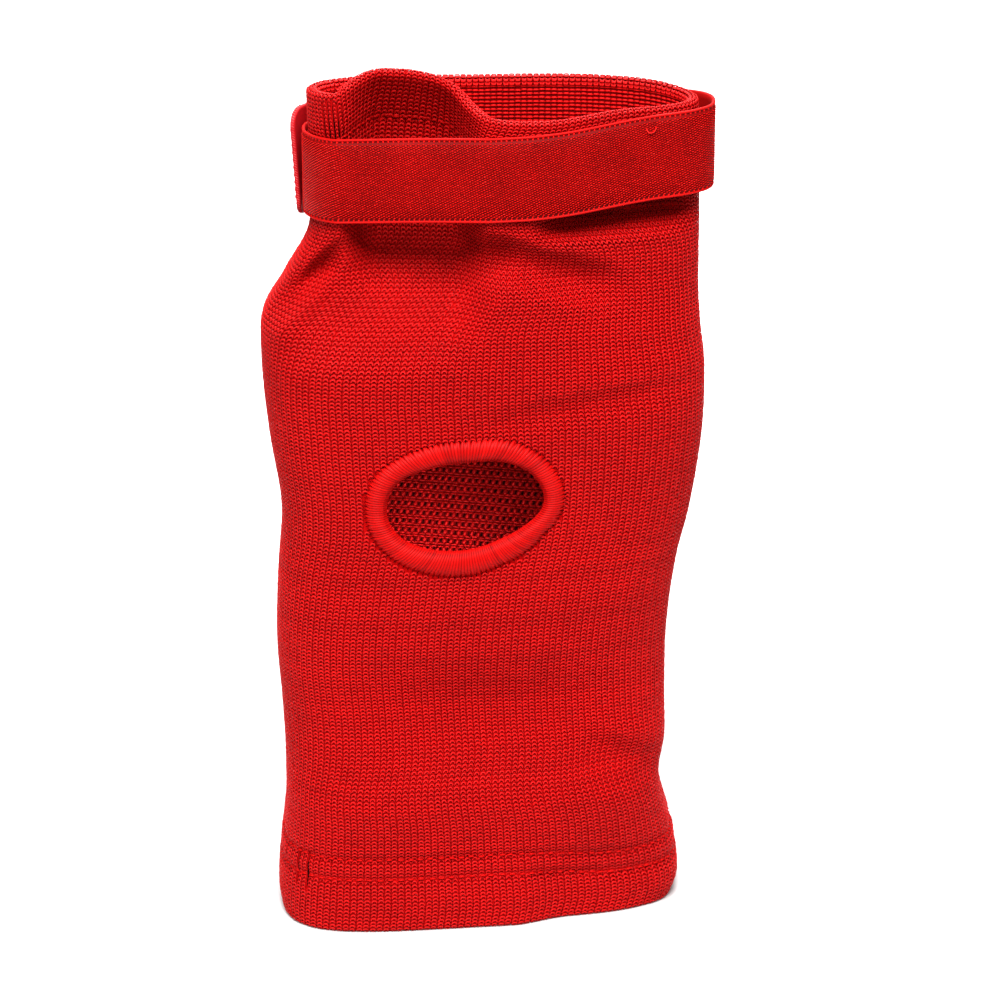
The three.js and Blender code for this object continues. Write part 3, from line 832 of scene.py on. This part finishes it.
def knit_panel(name, first_column, columns, wales, low, high, loop):
    """The stitches of one wall between two courses: an arched loop for every stitch."""
    wale, course = np.meshgrid(np.arange(wales), np.arange(low, high), indexing="ij")
    wale, course = wale.ravel(), course.ravel()
    centre = first_column + (wale + 0.5) * columns / wales
    run = courses[course]
    front = first_column == 0
    if front:
        middle = on_cloth(centre, run + COURSE / 2, 0 * run)
        keep = (oval_reach(middle[:, 0], middle[:, 2], 1) > RIM_CLEAR) | (run > TOP_START)
        wale, course, centre, run = wale[keep], course[keep], centre[keep], run[keep]
    count = len(run)
    wobble = UNEVEN["wave"] * np.sin(run / WAVE_MM + WAVE_TURN * wale)
    wobble = wobble + UNEVEN["across"] * rng.standard_normal(count)
    across = loop["points"][None, :, 0] * (1 + UNEVEN["width"] * rng.standard_normal((count, 1)))
    if front:
        left, right = slit_pull(wale, run)[:, None], slit_pull(wale + 1, run)[:, None]
        across = across * (1 - SLIT_NARROWS * np.where(across < 0, left, right))
    across = across + wobble[:, None]
    up = run[:, None] + loop["points"][None, :, 1] + UNEVEN["up"] * rng.standard_normal((count, 1))
    off = loop["points"][None, :, 2] + UNEVEN["off"] * rng.standard_normal((count, 1))
    off = off + TOP_LIFT * np.clip((up - TOP_START) / (HEM_RADIUS * np.pi), 0, 1)
    place = on_cloth(centre[:, None] + across * (columns / wales / WALE), up, off)
    x, z = place[:, 0, 0], place[:, 0, 2]
    tone = (KNIT_TONE + stretch_tone(x, z)) * course_slack[course]
    tone = np.clip(tone + UNEVEN["tone"] * rng.standard_normal(count), *TONE_LIMITS)
    if front:
        # painted shade in the pinch under the band
        tone *= pinch_shade(x, z)
    return lay_strands(name, loop, place, tone, knit_yarn, "sleeve")


# Between the parted wales the cloth shows a dark gap, laid as a dark strand: painted shade in the gap.
gap_line = strand(
    [(0, 0), (0, 0.1), (0, 0.3), (0, 0.5), (0, 0.7), (0, 0.9), (0, 1)],
    [0.1, 0.34, 0.4, 0.34, 0.1], -0.3, -0.45, -0.45,
)
u, v, off = gap_line["points"].T
gap_place = []
for slit_share, slit_low, slit_high, opens in SLITS:
    boundary = np.round(slit_share * FRONT_WALES) * FRONT_COLUMNS / FRONT_WALES
    column = boundary + u * opens * FRONT_COLUMNS / FRONT_WALES / WALE
    gap_place.append(on_cloth(column, slit_low + v * (slit_high - slit_low), off))
gap_shade = lay_strands(
    "knit_gaps_painted_shade", gap_line, np.array(gap_place), np.zeros(len(SLITS)), knit_ground, "sleeve"
)

thirds = [len(courses) * k // 3 for k in range(4)]
half = len(courses) // 2
knit_pieces = [
    knit_panel(f"knit_front_{part}", 0, FRONT_COLUMNS, FRONT_WALES, low, high, FINE_LOOP)
    for part, low, high in zip(("lower", "middle", "upper"), thirds, thirds[1:])
]
knit_pieces += [
    knit_panel("knit_back_lower", FRONT_COLUMNS, BACK_COLUMNS, BACK_WALES, 0, half, PLAIN_LOOP),
    knit_panel("knit_back_upper", FRONT_COLUMNS, BACK_COLUMNS, BACK_WALES, half, len(courses), PLAIN_LOOP),
    gap_shade,
]
print(len(courses), "courses of", FRONT_WALES + BACK_WALES, "wales")

# %% [markdown]
# ## Inside of the knit
# Through the hole the back wall shows its inside. There the loops lie across: two beaded rows, then a row
# of posts with an open eyelet between each two, which is laid as a dark strand: painted shade in the hole. At
# the mouth both walls show plain beaded rows. A knit that is worked through and through would need twice
# the loops, so only the parts that can be looked into are laid.

# %% Inner face and its stitches
inner_heights = np.linspace(2, TOP_START, 300)
inner_grid = tube_rows(inner_heights, cloth_thickness(inner_heights), 0 * inner_heights)
inner_normal = -plan_outward(inner_grid)


def on_inside(column, height, off):
    """Points at a height off the inner face of the cloth."""
    row = np.interp(height, inner_heights, np.arange(len(inner_heights)))
    return sample(inner_grid, row, column) + sample(inner_normal, row, column) * off[..., None]


bead = strand([(-1.3, -0.06), (-0.45, 0.06), (0.45, 0.06), (1.3, -0.06)], 0.4, 0.44, -0.1, 0.16)
dip = strand([(-1.3, 0.06), (-0.45, -0.05), (0.45, -0.05), (1.3, 0.06)], 0.4, 0.4, -0.1, 0.16)
post = strand([(-0.12, -0.95), (-0.08, -0.4), (0.08, 0.4), (0.12, 0.95)], 0.6, 0.36, -0.1, 0.08)
# An eyelet is a dark strand: painted shade in the open hole.
eyelet = strand([(-0.1, -0.74), (-0.06, -0.3), (0.06, 0.3), (0.1, 0.74)], 0.42, 0.14, -0.1, 0.06)
print("inside stitches have", len(bead["faces"]), "triangles each")

# %% Rows of inside stitches
WALLS = {"front": (0, FRONT_COLUMNS, FRONT_WALES), "back": (FRONT_COLUMNS, BACK_COLUMNS, BACK_WALES)}
INSIDE_UNEVEN = {"across": 0.04, "up": 0.05, "off": 0.03, "tone": 0.08}


def purl_rows(name, kind, heights, shift, side, reach=(-99, 99), slope=0.0, bright=1.0, material=knit_yarn):
    """One kind of inside stitch along rows of the inner face of the front or back wall."""
    first, columns, wales = WALLS[side]
    wale, course = np.meshgrid(np.arange(wales), heights, indexing="ij")
    wale, course = wale.ravel(), course.ravel()
    centre = first + (wale + 0.5 + shift) * columns / wales
    x = on_inside(centre, course, 0 * course)[:, 0]
    keep = (x > reach[0]) & (x < reach[1])
    centre, course = centre[keep], course[keep] - slope * x[keep]
    count = len(course)
    u, v, off = kind["points"].T
    across = u + INSIDE_UNEVEN["across"] * rng.standard_normal((count, 1))
    up = course[:, None] + v + INSIDE_UNEVEN["up"] * rng.standard_normal((count, 1))
    off = off + INSIDE_UNEVEN["off"] * rng.standard_normal((count, 1))
    place = on_inside(centre[:, None] - across * (columns / wales / WALE), up, off)
    tone = bright * np.clip(1.0 + INSIDE_UNEVEN["tone"] * rng.standard_normal(count), 0.5, 1.2)
    return lay_strands(name, kind, place, tone, material, "sleeve")


EYELET_ROW = 2.88
DIP_UP, POST_UP = 0.95, 1.95
elbow = {"side": "back", "reach": (-50, 42), "slope": 0.02}
eyelet_rows = np.arange(62, 150, EYELET_ROW)
post_rows = eyelet_rows + POST_UP
knit_pieces += [
    purl_rows("inside_elbow_beads", bead, eyelet_rows, 0, **elbow),
    purl_rows("inside_elbow_dips", dip, eyelet_rows + DIP_UP, 0, **elbow),
    purl_rows("inside_elbow_posts", post, post_rows, 0.5, **elbow),
    # the eyelets get no tone: painted shade
    purl_rows("inside_elbow_eyelet_shade", eyelet, post_rows, 0, **elbow, bright=0.0, material=knit_ground),
]

# %% Rows inside the mouth
MOUTH_ROW = 1.2
MOUTH_TO = {"back": 204, "front": 232}
mouth_bead = strand([(-1.5, -0.1), (-0.5, 0.1), (0.5, 0.1), (1.5, -0.1)], 0.5, 0.4, -0.1, 0.16)
for side, lowest in MOUTH_TO.items():
    mouth_rows = np.arange(TOP_START - 0.5, lowest, -MOUTH_ROW)
    knit_pieces.append(purl_rows(f"inside_mouth_{side}", mouth_bead, mouth_rows, 0, side))

# %% [markdown]
# ## Hem stitches
# The hems are held by rows of straight stitches in the same red thread. Each stitch is a strand that rises
# out of the cloth and dives back in, so from a distance the rows read as faint dashed lines.

# %% Rows of hem stitches
HEM_STITCH = 2.9
HEM_TONE = {"bottom": 0.9, "top": 0.6}
HEM_UNEVEN = {"across": 0.2, "up": 0.12, "tone": 0.08}
hem_thread = strand([(-1.15, 0), (-0.6, 0), (0, 0.03), (0.6, 0), (1.15, 0)], 0.3, 0.62, -0.3, -0.5)
girth = float(np.mean(front_girth + back_girth))
hem_count = round(girth / HEM_STITCH)
hem_columns = np.arange(hem_count) * COLUMNS / hem_count
column, height = np.meshgrid(hem_columns, BOTTOM_ROWS + TOP_ROWS, indexing="ij")
sinks = np.interp(column, np.arange(COLUMNS), row_sink) * (height < HEIGHT / 2)
column, height = column.ravel(), (height - sinks).ravel()
u, v, off = hem_thread["points"].T
across = u + HEM_UNEVEN["across"] * rng.standard_normal((len(column), 1))
place = on_cloth(
    column[:, None] + across * COLUMNS / girth,
    height[:, None] + v + HEM_UNEVEN["up"] * rng.standard_normal((len(column), 1)),
    np.broadcast_to(off, across.shape),
)
hem_tone = np.where(height > HEIGHT / 2, HEM_TONE["top"], HEM_TONE["bottom"])
hem_tone = hem_tone * np.clip(1 + HEM_UNEVEN["tone"] * rng.standard_normal(len(column)), 0.7, 1.2)
hem_stitches = lay_strands("hem_stitches", hem_thread, place, hem_tone, overcast_thread, "sleeve")

# %% [markdown]
# ## Needle holes
# Where the overcasting needle went through the knit it leaves a small hole beside the ring, about two
# holes to every three threads, which shows dark with shade. Dark dots in the knit's material could mark them,
# but the holes follow the ring and not the knit, so each one is a flat dark strand of painted shade that is
# laid on the cloth at the ring's edge.

# %% Needle holes
TEETH = 110
HOLE_OUT, HOLE_PROUD = 0.35, 0.12
needle_hole = strand([(-0.5, 0), (0, 0), (0.5, 0)], 0.17, 0.08, -0.1, -0.05)
hole_turn = 2 * np.pi * (np.arange(TEETH) + 0.5) / TEETH
hole_edge = oval(hole_turn, 1)
hole_out = hole_edge - oval(hole_turn, 0)
hole_out /= np.linalg.norm(hole_out, axis=-1, keepdims=True)
hole_along = np.stack([-hole_out[:, 1], hole_out[:, 0]], -1)
u, v, off = needle_hole["points"].T
hole_xz = hole_edge[:, None] + hole_out[:, None] * (u + HOLE_OUT)[:, None] + hole_along[:, None] * v[:, None]
hole_y = front_face_y(hole_xz[..., 0], hole_xz[..., 1]) - HOLE_PROUD - off
place = np.stack([hole_xz[..., 0], hole_y, hole_xz[..., 1]], -1)
# Each hole is a flat dark strand: painted shade in the hole.
needle_hole_shade = lay_strands(
    "needle_hole_shade", needle_hole, place, np.zeros(TEETH), knit_ground, "sleeve"
)
knit_pieces += [hem_stitches, needle_hole_shade]

# %% [markdown]
# ## Rim of the hole
# The rim is overcast: thread after thread is laid side by side across the cut edge until they form one
# smooth, rounded ring. Single strands, as for the knit, would leave gaps between them, so the ring is one
# closed mesh with a ridge for every thread and a tooth at its outer edge between each two needle holes.
# Where the last thread ends, at the lower right, the ring bulges.

# %% Threads of the ring
THREADS = 170
PER_THREAD = 8
SIDES = 20
THREAD_LEAST, THREAD_MORE = 0.85, 0.2
ROUNDNESS = 0.7
# the end of the last thread: its place and half width as shares of the turn, and its bulge in mm
THREAD_END = {"at": 0.955, "half_width": 0.012, "bulge": 0.9}
# how far the threads slant, as a share of the turn, and how many times they change from one way to the other
SLANT = {"by": 0.0006, "times": 7}
share = np.arange(THREADS * PER_THREAD) / (THREADS * PER_THREAD)
ring_angle = 2 * np.pi * np.arange(SIDES) / SIDES
thread_high = np.repeat(THREAD_LEAST + THREAD_MORE * rng.random(THREADS), PER_THREAD)
ridge = (np.sin(np.pi * (share * THREADS % 1)) ** ROUNDNESS * thread_high)[:, None]
tooth = 1 - (0.5 - 0.5 * np.cos(2 * np.pi * TEETH * share)) ** 3
from_end = (share - THREAD_END["at"] + 0.5) % 1 - 0.5
thread_end = np.exp(-(from_end / THREAD_END["half_width"]) ** 2)
slant = SLANT["by"] * np.sin(2 * np.pi * SLANT["times"] * share)[:, None] * np.cos(ring_angle)[None]
print(THREADS, "threads and", TEETH, "teeth, at", len(share), "places round the ring")

# %% Form of the ring
RIDGE = 0.2
# how far the teeth start inside the edge, and how high they are, in mm
TEETH_FROM, TEETH_HIGH = -0.35, 0.75
# the groove inside, where the threads turn round the cut edge: depth in mm, place and half width in radians
GROOVE = {"depth": 0.16, "at": 2.55, "half_width": 0.16}
inside = oval(2 * np.pi * (share[:, None] + slant), 0)
outside = oval(2 * np.pi * (share[:, None] + slant), 1)
outward = outside - inside
outward /= np.linalg.norm(outward, axis=-1, keepdims=True)
edge = np.maximum(0, np.cos(ring_angle))[None] ** 5
reach_out = edge * (TEETH_FROM + TEETH_HIGH * tooth[:, None] + THREAD_END["bulge"] * thread_end[:, None])
off_groove = np.abs(np.angle(np.exp(1j * ring_angle))) - GROOVE["at"]
groove = GROOVE["depth"] * np.exp(-(off_groove / GROOVE["half_width"]) ** 2)[None]
swell = RIDGE * (ridge - 0.6) * (1 - 0.5 * edge) - groove
mix = (0.5 + 0.5 * np.cos(ring_angle))[None, :, None]
moved = outward * (reach_out + swell * np.cos(ring_angle))[..., None]
ring_xz = inside * (1 - mix) + outside * mix + moved
face = front_face_y(ring_xz[..., 0], ring_xz[..., 1])
ring_y = face + WALL / 2 + (HOLE["depth"] + swell) * np.sin(ring_angle)[None]
ring_points = np.stack([ring_xz[..., 0], ring_y, ring_xz[..., 1]], -1)
print("ring is", round(float(np.ptp(ring_points[..., 0])), 1), "mm wide")

# %% Mesh of the ring
# tone between two threads, what a crown adds, how uneven threads are, what the groove and the teeth take off;
# the low tone between the threads, in the groove and between the teeth is painted shade
RING_TONE = {"valley": 0.3, "crown": 0.48, "uneven": 0.07, "groove": 1.2, "teeth": 0.4}
thread_tone = np.repeat(RING_TONE["uneven"] * rng.standard_normal(THREADS), PER_THREAD)[:, None]
ring_tone = RING_TONE["valley"] + RING_TONE["crown"] * ridge * np.ones_like(face) + thread_tone
ring_tone = ring_tone - RING_TONE["groove"] * groove - RING_TONE["teeth"] * edge * (1 - tooth[:, None])
overcast_ring = make_piece(
    "overcast_ring", ring_points.reshape(-1, 3), closed_quads(len(share), SIDES).reshape(-1, 4),
    ring_tone.ravel(), overcast_thread, "hole_rim",
)

# %% Loose fibre
# One fibre has worked loose beside the end of the overcast thread, and lies on the knit at the ring's right.
fibre = strand([(-2.4, -0.4), (-1.2, 0.2), (0, 0.1), (1.2, -0.2), (2.4, 0.3)], 0.13, 0.55, 0.3, 0.2)
# share of the front girth, height in mm
FIBRE_AT = (0.683, 126.0)
FIBRE_TONE = 1.3
turn = math.radians(105)
u = fibre["points"][:, 0] * math.cos(turn) - fibre["points"][:, 1] * math.sin(turn)
v = fibre["points"][:, 0] * math.sin(turn) + fibre["points"][:, 1] * math.cos(turn)
place = on_cloth(FIBRE_AT[0] * FRONT_COLUMNS + u * COLUMNS / girth, FIBRE_AT[1] + v, fibre["points"][:, 2])
loose_fibre = lay_strands(
    "loose_fibre", fibre, place[None], np.array([FIBRE_TONE]), overcast_thread, "hole_rim"
)

# %% [markdown]
# ## Elastic band
# The band is pulled tight, so in plan it follows the shortest loop round the sleeve: the convex hull of the
# sleeve's outline over the band's height. It bridges the deep fold, which stays dark behind it. The ribbon
# has a corded edge along both sides, a row of small needle holes inside each cord, and a fine slanting
# weave.

# %% Taut path
BAND_WIDTH = 25.0
BAND_THICK = 1.4
SEAT_GAP = 0.3
# columns: x, height of the band's middle line
BAND_LINE = np.array([(-53, 226.6), (-20, 228.3), (20, 230.2), (42, 233.4), (66, 235.0)])
STAND_OFF = {"from": 46.0, "to": 62.0, "most": 2.6}
BAND_STATIONS = 720
HULL_LEVELS = 7
SMOOTHINGS = 12


def half_hull(points):
    """One side of the convex hull of points sorted by x."""
    kept = []
    for p in points:
        while len(kept) > 1:
            a, b = kept[-2], kept[-1]
            if (b[0] - a[0]) * (p[1] - a[1]) - (b[1] - a[1]) * (p[0] - a[0]) > 0:
                break
            kept.pop()
        kept.append(p)
    return kept


lowest, highest = BAND_LINE[0, 1] - BAND_WIDTH / 2, BAND_LINE[-1, 1] + BAND_WIDTH / 2
band_levels = np.linspace(lowest, highest, HULL_LEVELS)
both_walls = [wall_lines(side, band_levels)[..., :2].reshape(-1, 2) for side in ("front", "back")]
outline = np.concatenate(both_walls)
outline = outline[np.lexsort((outline[:, 1], outline[:, 0]))]
hull = np.array(half_hull(outline)[:-1] + half_hull(outline[::-1])[:-1])
band_path = even_steps(np.vstack([hull, hull[:1]]), BAND_STATIONS)
band_length = float(np.linalg.norm(np.roll(band_path, -1, 0) - band_path, axis=1).sum())
smoothed = band_path.copy()
for _ in range(SMOOTHINGS):
    smoothed = (np.roll(smoothed, 1, 0) + 2 * smoothed + np.roll(smoothed, -1, 0)) / 4
band_out = plan_outward(np.c_[smoothed, np.zeros(BAND_STATIONS)][None])[0]
print("band length in mm:", round(band_length, 1))


def on_band(run, up, off):
    """Points on the band: a run along it, up from its middle line, and off its inner face."""
    station = (run / band_length * BAND_STATIONS)[None]
    base = sample(np.c_[band_path, np.zeros(BAND_STATIONS)][None].repeat(2, 0), 0 * station, station)[0]
    out = sample(band_out[None].repeat(2, 0), 0 * station, station)[0]
    out /= np.linalg.norm(out, axis=-1, keepdims=True)
    t = np.clip((base[..., 0] - STAND_OFF["from"]) / (STAND_OFF["to"] - STAND_OFF["from"]), 0, 1)
    stand = SEAT_GAP + STAND_OFF["most"] * t * t * (3 - 2 * t)
    place = base + out * (stand + off)[..., None]
    place[..., 2] = smooth(BAND_LINE, base[..., 0])[..., 0] + up
    return place


# %% Ribbon with corded edges
# The ribbon's face under the weave, its rows of needle holes and its inner face get a low tone: painted shade
# between and behind the threads.
# columns: up from the middle line as a share of the half width, off the inner face in mm, tone
RIBBON = np.array([
    (-1.0, 0.6, 0.4), (-0.99, 1.05, 0.48), (-0.97, 1.22, 0.48), (-0.948, 1.05, 0.4), (-0.94, 0.85, 0.1),
    (-0.905, 0.85, 0.1), (-0.895, 1.08, 0.1), (-0.4, 1.1, 0.1), (0.0, 1.1, 0.1), (0.4, 1.1, 0.1),
    (0.895, 1.08, 0.1), (0.905, 0.85, 0.1), (0.94, 0.85, 0.1), (0.948, 1.05, 0.4), (0.97, 1.22, 0.48),
    (0.99, 1.05, 0.48), (1.0, 0.6, 0.4), (0.97, 0.15, 0.2), (0.85, 0.0, 0.15), (0.4, 0.0, 0.15),
    (0.0, 0.0, 0.15), (-0.4, 0.0, 0.15), (-0.85, 0.0, 0.15), (-0.97, 0.15, 0.2),
])
station = np.arange(0, BAND_STATIONS, 2)
run, section = np.meshgrid(station * band_length / BAND_STATIONS, np.arange(len(RIBBON)), indexing="ij")
ribbon_points = on_band(run, RIBBON[section, 0] * BAND_WIDTH / 2, RIBBON[section, 1])
OUTWARD = [0, 3, 2, 1]
ribbon_faces = closed_quads(len(station), len(RIBBON))[..., OUTWARD].reshape(-1, 4)
band_ribbon = make_piece(
    "band_ribbon", ribbon_points.reshape(-1, 3), ribbon_faces, RIBBON[section, 2].ravel(), elastic_weave,
    "elastic_band",
)

# %% Weave on the band
WEAVE_LONG = 1.47
WEAVE_ROW = 0.36
WEAVE_LEAN = 0.15
WEAVE_REACH = 10.95
WEAVE_OFF = 1.08
WEAVE_UNEVEN = 0.015
# tone of a thread, what every second pair of rows adds, and how uneven the threads are
WEAVE_TONE = {"least": 0.78, "pair": 0.1, "uneven": 0.1}
# At the left turn the weave is painted lighter: a painted sheen where the turn catches the light.
LEFT_TURN_SHEEN = {"x": -52.0, "half_width": 9.0, "lighter": 0.25}
weave = strand([(-0.6, -0.09), (0, 0), (0.6, 0.09)], 0.18, 0.3, -0.05, 0.0)
weave_count = round(band_length / WEAVE_LONG)
rows = np.arange(-WEAVE_REACH, WEAVE_REACH + 0.01, WEAVE_ROW)
order, level = np.meshgrid(np.arange(weave_count), np.arange(len(rows)), indexing="ij")
order, level = order.ravel(), level.ravel()
up = rows[level]
run = (order + 0.5 * (level % 2)) * band_length / weave_count - WEAVE_LEAN * up
count = len(run)
u, v, off = weave["points"].T
place = on_band(
    run[:, None] + u,
    up[:, None] + v + WEAVE_UNEVEN * rng.standard_normal((count, 1)),
    WEAVE_OFF + off + WEAVE_UNEVEN * rng.standard_normal((count, 1)),
)
# painted sheen at the band's left turn
left_turn_sheen = np.exp(-(((place[:, 0, 0] - LEFT_TURN_SHEEN["x"]) / LEFT_TURN_SHEEN["half_width"]) ** 2))
weave_tone = WEAVE_TONE["least"] + WEAVE_TONE["pair"] * (level // 2 % 2)
weave_tone = weave_tone + WEAVE_TONE["uneven"] * rng.standard_normal(count) + LEFT_TURN_SHEEN["lighter"] * left_turn_sheen
band_weave = lay_strands(
    "band_weave", weave, place, np.clip(weave_tone, 0.4, 1.2), elastic_weave, "elastic_band"
)

# %% Bars between the needle holes
BAR_STEP = 1.47
BAR_AT, BAR_OFF, BAR_TONE = 0.922, 0.85, 0.85
bar = strand([(0, -0.5), (0, -0.2), (0, 0.2), (0, 0.5)], 0.48, 0.3, -0.2, 0.1)
bar_count = round(band_length / BAR_STEP)
run, up = np.meshgrid(np.arange(bar_count) * band_length / bar_count, [-BAR_AT, BAR_AT], indexing="ij")
run, up = run.ravel()[:, None], up.ravel()[:, None] * BAND_WIDTH / 2
u, v, off = bar["points"].T
place = on_band(run + u, up + v, BAR_OFF + off + 0 * run)
band_bars = lay_strands(
    "band_bars", bar, place, np.full(len(run), BAR_TONE), elastic_weave, "elastic_band"
)

# %% Pulled thread
# One thread of the weave has been pulled into a small loop near the top edge on the right.
loop_line = [(-1.5, 1.0), (-1.35, 0.1), (-0.8, -0.75), (0, -1.0), (0.8, -0.75), (1.35, 0.1), (1.5, 1.0)]
pulled = strand(loop_line, 0.2, 0.75, 0.35, 0.3)
LOOP_X, LOOP_UP, LOOP_OFF, LOOP_TONE = 46.5, 8.6, 1.1, 1.05
front_run = np.flatnonzero(band_path[:, 1] < SIDE_LINE_Y)
at = front_run[np.argmin(np.abs(band_path[front_run, 0] - LOOP_X))] * band_length / BAND_STATIONS
u, v, off = pulled["points"].T
place = on_band(at + u, LOOP_UP + v, LOOP_OFF + off)
pulled_thread = lay_strands(
    "pulled_thread", pulled, place[None], np.array([LOOP_TONE]), elastic_weave,
    "elastic_band",
)

# %% [markdown]
# ## Hook tab
# The band closes at its left turn with a tab of hook tape, which lies on the band from there to the back.
# Its free end stands off a little, so the tab shows beside the band from the front. It is a thin plate with
# rounded corners, bent along the band's path. A bare plate looks like moulded plastic, so its cut edge
# carries the ribs of the tape, its face a twill of short threads, and its free end a row of pale stitches.

# %% Plate of the tab
TAB_HEIGHT = 32.0
TAB_RAISED = 1.0
TAB_THICK = 1.3
TAB_REACH = 23.0
TAB_ROUND = 5.0
FLARE = {"top": 1.6, "bottom": 0.2, "run": 12.0}
TAB_ACROSS, TAB_UP = 32, 36
left_end = float(np.argmin(band_path[:, 0])) * band_length / BAND_STATIONS
along = (1 - np.cos(np.linspace(0, np.pi, TAB_ACROSS + 1))) / 2
shy = np.clip(1 - np.minimum(along, 1 - along) * TAB_REACH / TAB_ROUND, 0, 1)
tab_half = TAB_HEIGHT / 2 - TAB_ROUND * (1 - np.sqrt(1 - shy * shy))
rim = np.linspace(-1, 1, TAB_UP + 1)


def on_tab(from_free_end, up_share, off):
    """Points on the tab: along from its free end, up as a share of half its height, off its inner face."""
    half = np.interp(from_free_end, along * TAB_REACH, tab_half)
    flare = FLARE["bottom"] + (FLARE["top"] - FLARE["bottom"]) * (up_share + 1) / 2
    lift = flare * np.clip(1 - from_free_end / FLARE["run"], 0, 1) ** 2
    return on_band(left_end - from_free_end, TAB_RAISED + half * up_share, SEAT_GAP + BAND_THICK + lift + off)


print("tab is", TAB_REACH, "mm long and", TAB_HEIGHT, "mm high, at", round(left_end, 1), "mm along the band")

# %% Mesh of the plate
FACE_SHARE = 0.985
# The plate's edges are painted lighter: a painted highlight where the edge catches the light.
PLATE_TONE, EDGE_LIGHTER = 0.22, 0.05
from_free_end, up_share = np.meshgrid(along * TAB_REACH, rim, indexing="ij")
near = on_tab(from_free_end, up_share, 0 * up_share)
far = on_tab(from_free_end, up_share * FACE_SHARE, 0 * up_share + TAB_THICK)
points = np.concatenate([near.reshape(-1, 3), far.reshape(-1, 3)])
size = TAB_UP + 1
i, k = np.meshgrid(np.arange(TAB_ACROSS), np.arange(TAB_UP), indexing="ij")
here = (i * size + k).ravel()
faces_near = np.stack([here, here + size, here + size + 1, here + 1], -1)
faces_far = faces_near[:, ::-1] + near.size // 3
ring = np.r_[
    np.arange(0, TAB_UP), np.arange(TAB_ACROSS) * size + TAB_UP,
    TAB_ACROSS * size + np.arange(TAB_UP, 0, -1), np.arange(TAB_ACROSS, 0, -1) * size,
]
after = np.roll(ring, -1)
faces_edge = np.stack([ring, after, after + near.size // 3, ring + near.size // 3], -1)
tab_faces = np.concatenate([faces_near, faces_far, faces_edge])
edge_tone = np.maximum(np.abs(rim)[None] ** 12, np.abs(2 * along - 1)[:, None] ** 14)
tab_tone = np.concatenate([(PLATE_TONE + EDGE_LIGHTER * edge_tone).ravel()] * 2)
tab_plate = make_piece("tab_plate", points, tab_faces, tab_tone, hook_tape, "hook_tab")

# %% Ribs on the edge
RIB_STEP = 0.75
# The ribs on the edge are painted paler than the plate: a painted highlight where the edge catches the light.
RIB_TONE, TWILL_TONE, TAB_UNEVEN = 0.72, 0.5, 0.06
straight = TAB_HEIGHT / 2 - TAB_ROUND
rib = strand([(-0.62, -0.35), (-0.3, -0.17), (0.3, 0.17), (0.62, 0.35)], 0.2, 0.16, -0.12, 0.0)
rib_end = straight + TAB_ROUND * np.pi / 2
rib_at = np.arange(-rib_end, rib_end, RIB_STEP)
u, v, off = rib["points"].T
outline = rib_at[:, None] + v
corner = np.clip((np.abs(outline) - straight) / TAB_ROUND, 0, np.pi / 2)
from_free_end = TAB_ROUND * (1 - np.cos(corner)) - off * np.cos(corner)
up = np.sign(outline) * (np.minimum(np.abs(outline), straight) + (TAB_ROUND + off) * np.sin(corner))
up_share = up / np.interp(from_free_end, along * TAB_REACH, tab_half)
place = on_tab(from_free_end, up_share, TAB_THICK / 2 + u + 0 * outline)
rib_tone = RIB_TONE + TAB_UNEVEN * rng.standard_normal(len(place))
tab_ribs = lay_strands("tab_ribs", rib, place, rib_tone, hook_tape, "hook_tab")

# %% Twill on the face
# spacing along and up, and how far the threads stay from the two ends and from the edges
TWILL = {"along": 1.3, "up": 0.8, "from": 0.9, "to": 0.8, "edge": 0.7}
twill = strand([(-0.7, -0.45), (-0.25, -0.15), (0.25, 0.15), (0.7, 0.45)], 0.24, 0.2, -0.06, 0.02)
twill_along = np.arange(TWILL["from"], TAB_REACH - TWILL["to"], TWILL["along"])
twill_up = np.arange(-TAB_HEIGHT / 2 + TWILL["edge"], TAB_HEIGHT / 2 - TWILL["edge"], TWILL["up"])
row, column = np.meshgrid(np.arange(len(twill_up)), np.arange(len(twill_along)), indexing="ij")
middle = twill_along[column.ravel()] + 0.5 * TWILL["along"] * (row.ravel() % 2)
height = twill_up[row.ravel()]
inside = np.abs(height) < np.interp(middle, along * TAB_REACH, tab_half) - TWILL["edge"]
inside &= middle < TAB_REACH - TWILL["to"]
middle, height = middle[inside][:, None], height[inside][:, None]
u, v, off = twill["points"].T
up_share = (height + v) / np.interp(middle - u, along * TAB_REACH, tab_half)
place = on_tab(middle - u, up_share, TAB_THICK + off + 0 * middle)
twill_tone = TWILL_TONE + TAB_UNEVEN * rng.standard_normal(len(place))
tab_twill = lay_strands("tab_twill", twill, place, twill_tone, hook_tape, "hook_tab")

# %% Pale stitches on the free end
TAB_STITCH = 2.75
STITCH_FROM_END = 0.35
# The stitches are painted pale: a painted highlight where they catch the light.
STITCH_TONE = 1.1
tab_stitch = strand([(0, -0.75), (0, -0.35), (0, 0.35), (0, 0.75)], 0.3, 0.3, -0.2, 0.0)
stitch_up = (np.arange(-4.5, 4.6) * TAB_STITCH)[:, None]
u, v, off = tab_stitch["points"].T
place = on_tab(
    np.clip(STITCH_FROM_END + u + 0 * stitch_up, 0, 1),
    (stitch_up + v) / (TAB_HEIGHT / 2),
    TAB_THICK + off + 0 * stitch_up,
)
tab_stitches = lay_strands(
    "tab_stitches", tab_stitch, place, np.full(len(place), STITCH_TONE), hook_tape, "hook_tab"
)

# %% Triangles shown
shown_meshes = [o.data for o in scene.objects if o.type == "MESH" and not o.hide_render]
total = sum(len(face.vertices) - 2 for mesh in shown_meshes for face in mesh.polygons)
print("triangles shown:", total)
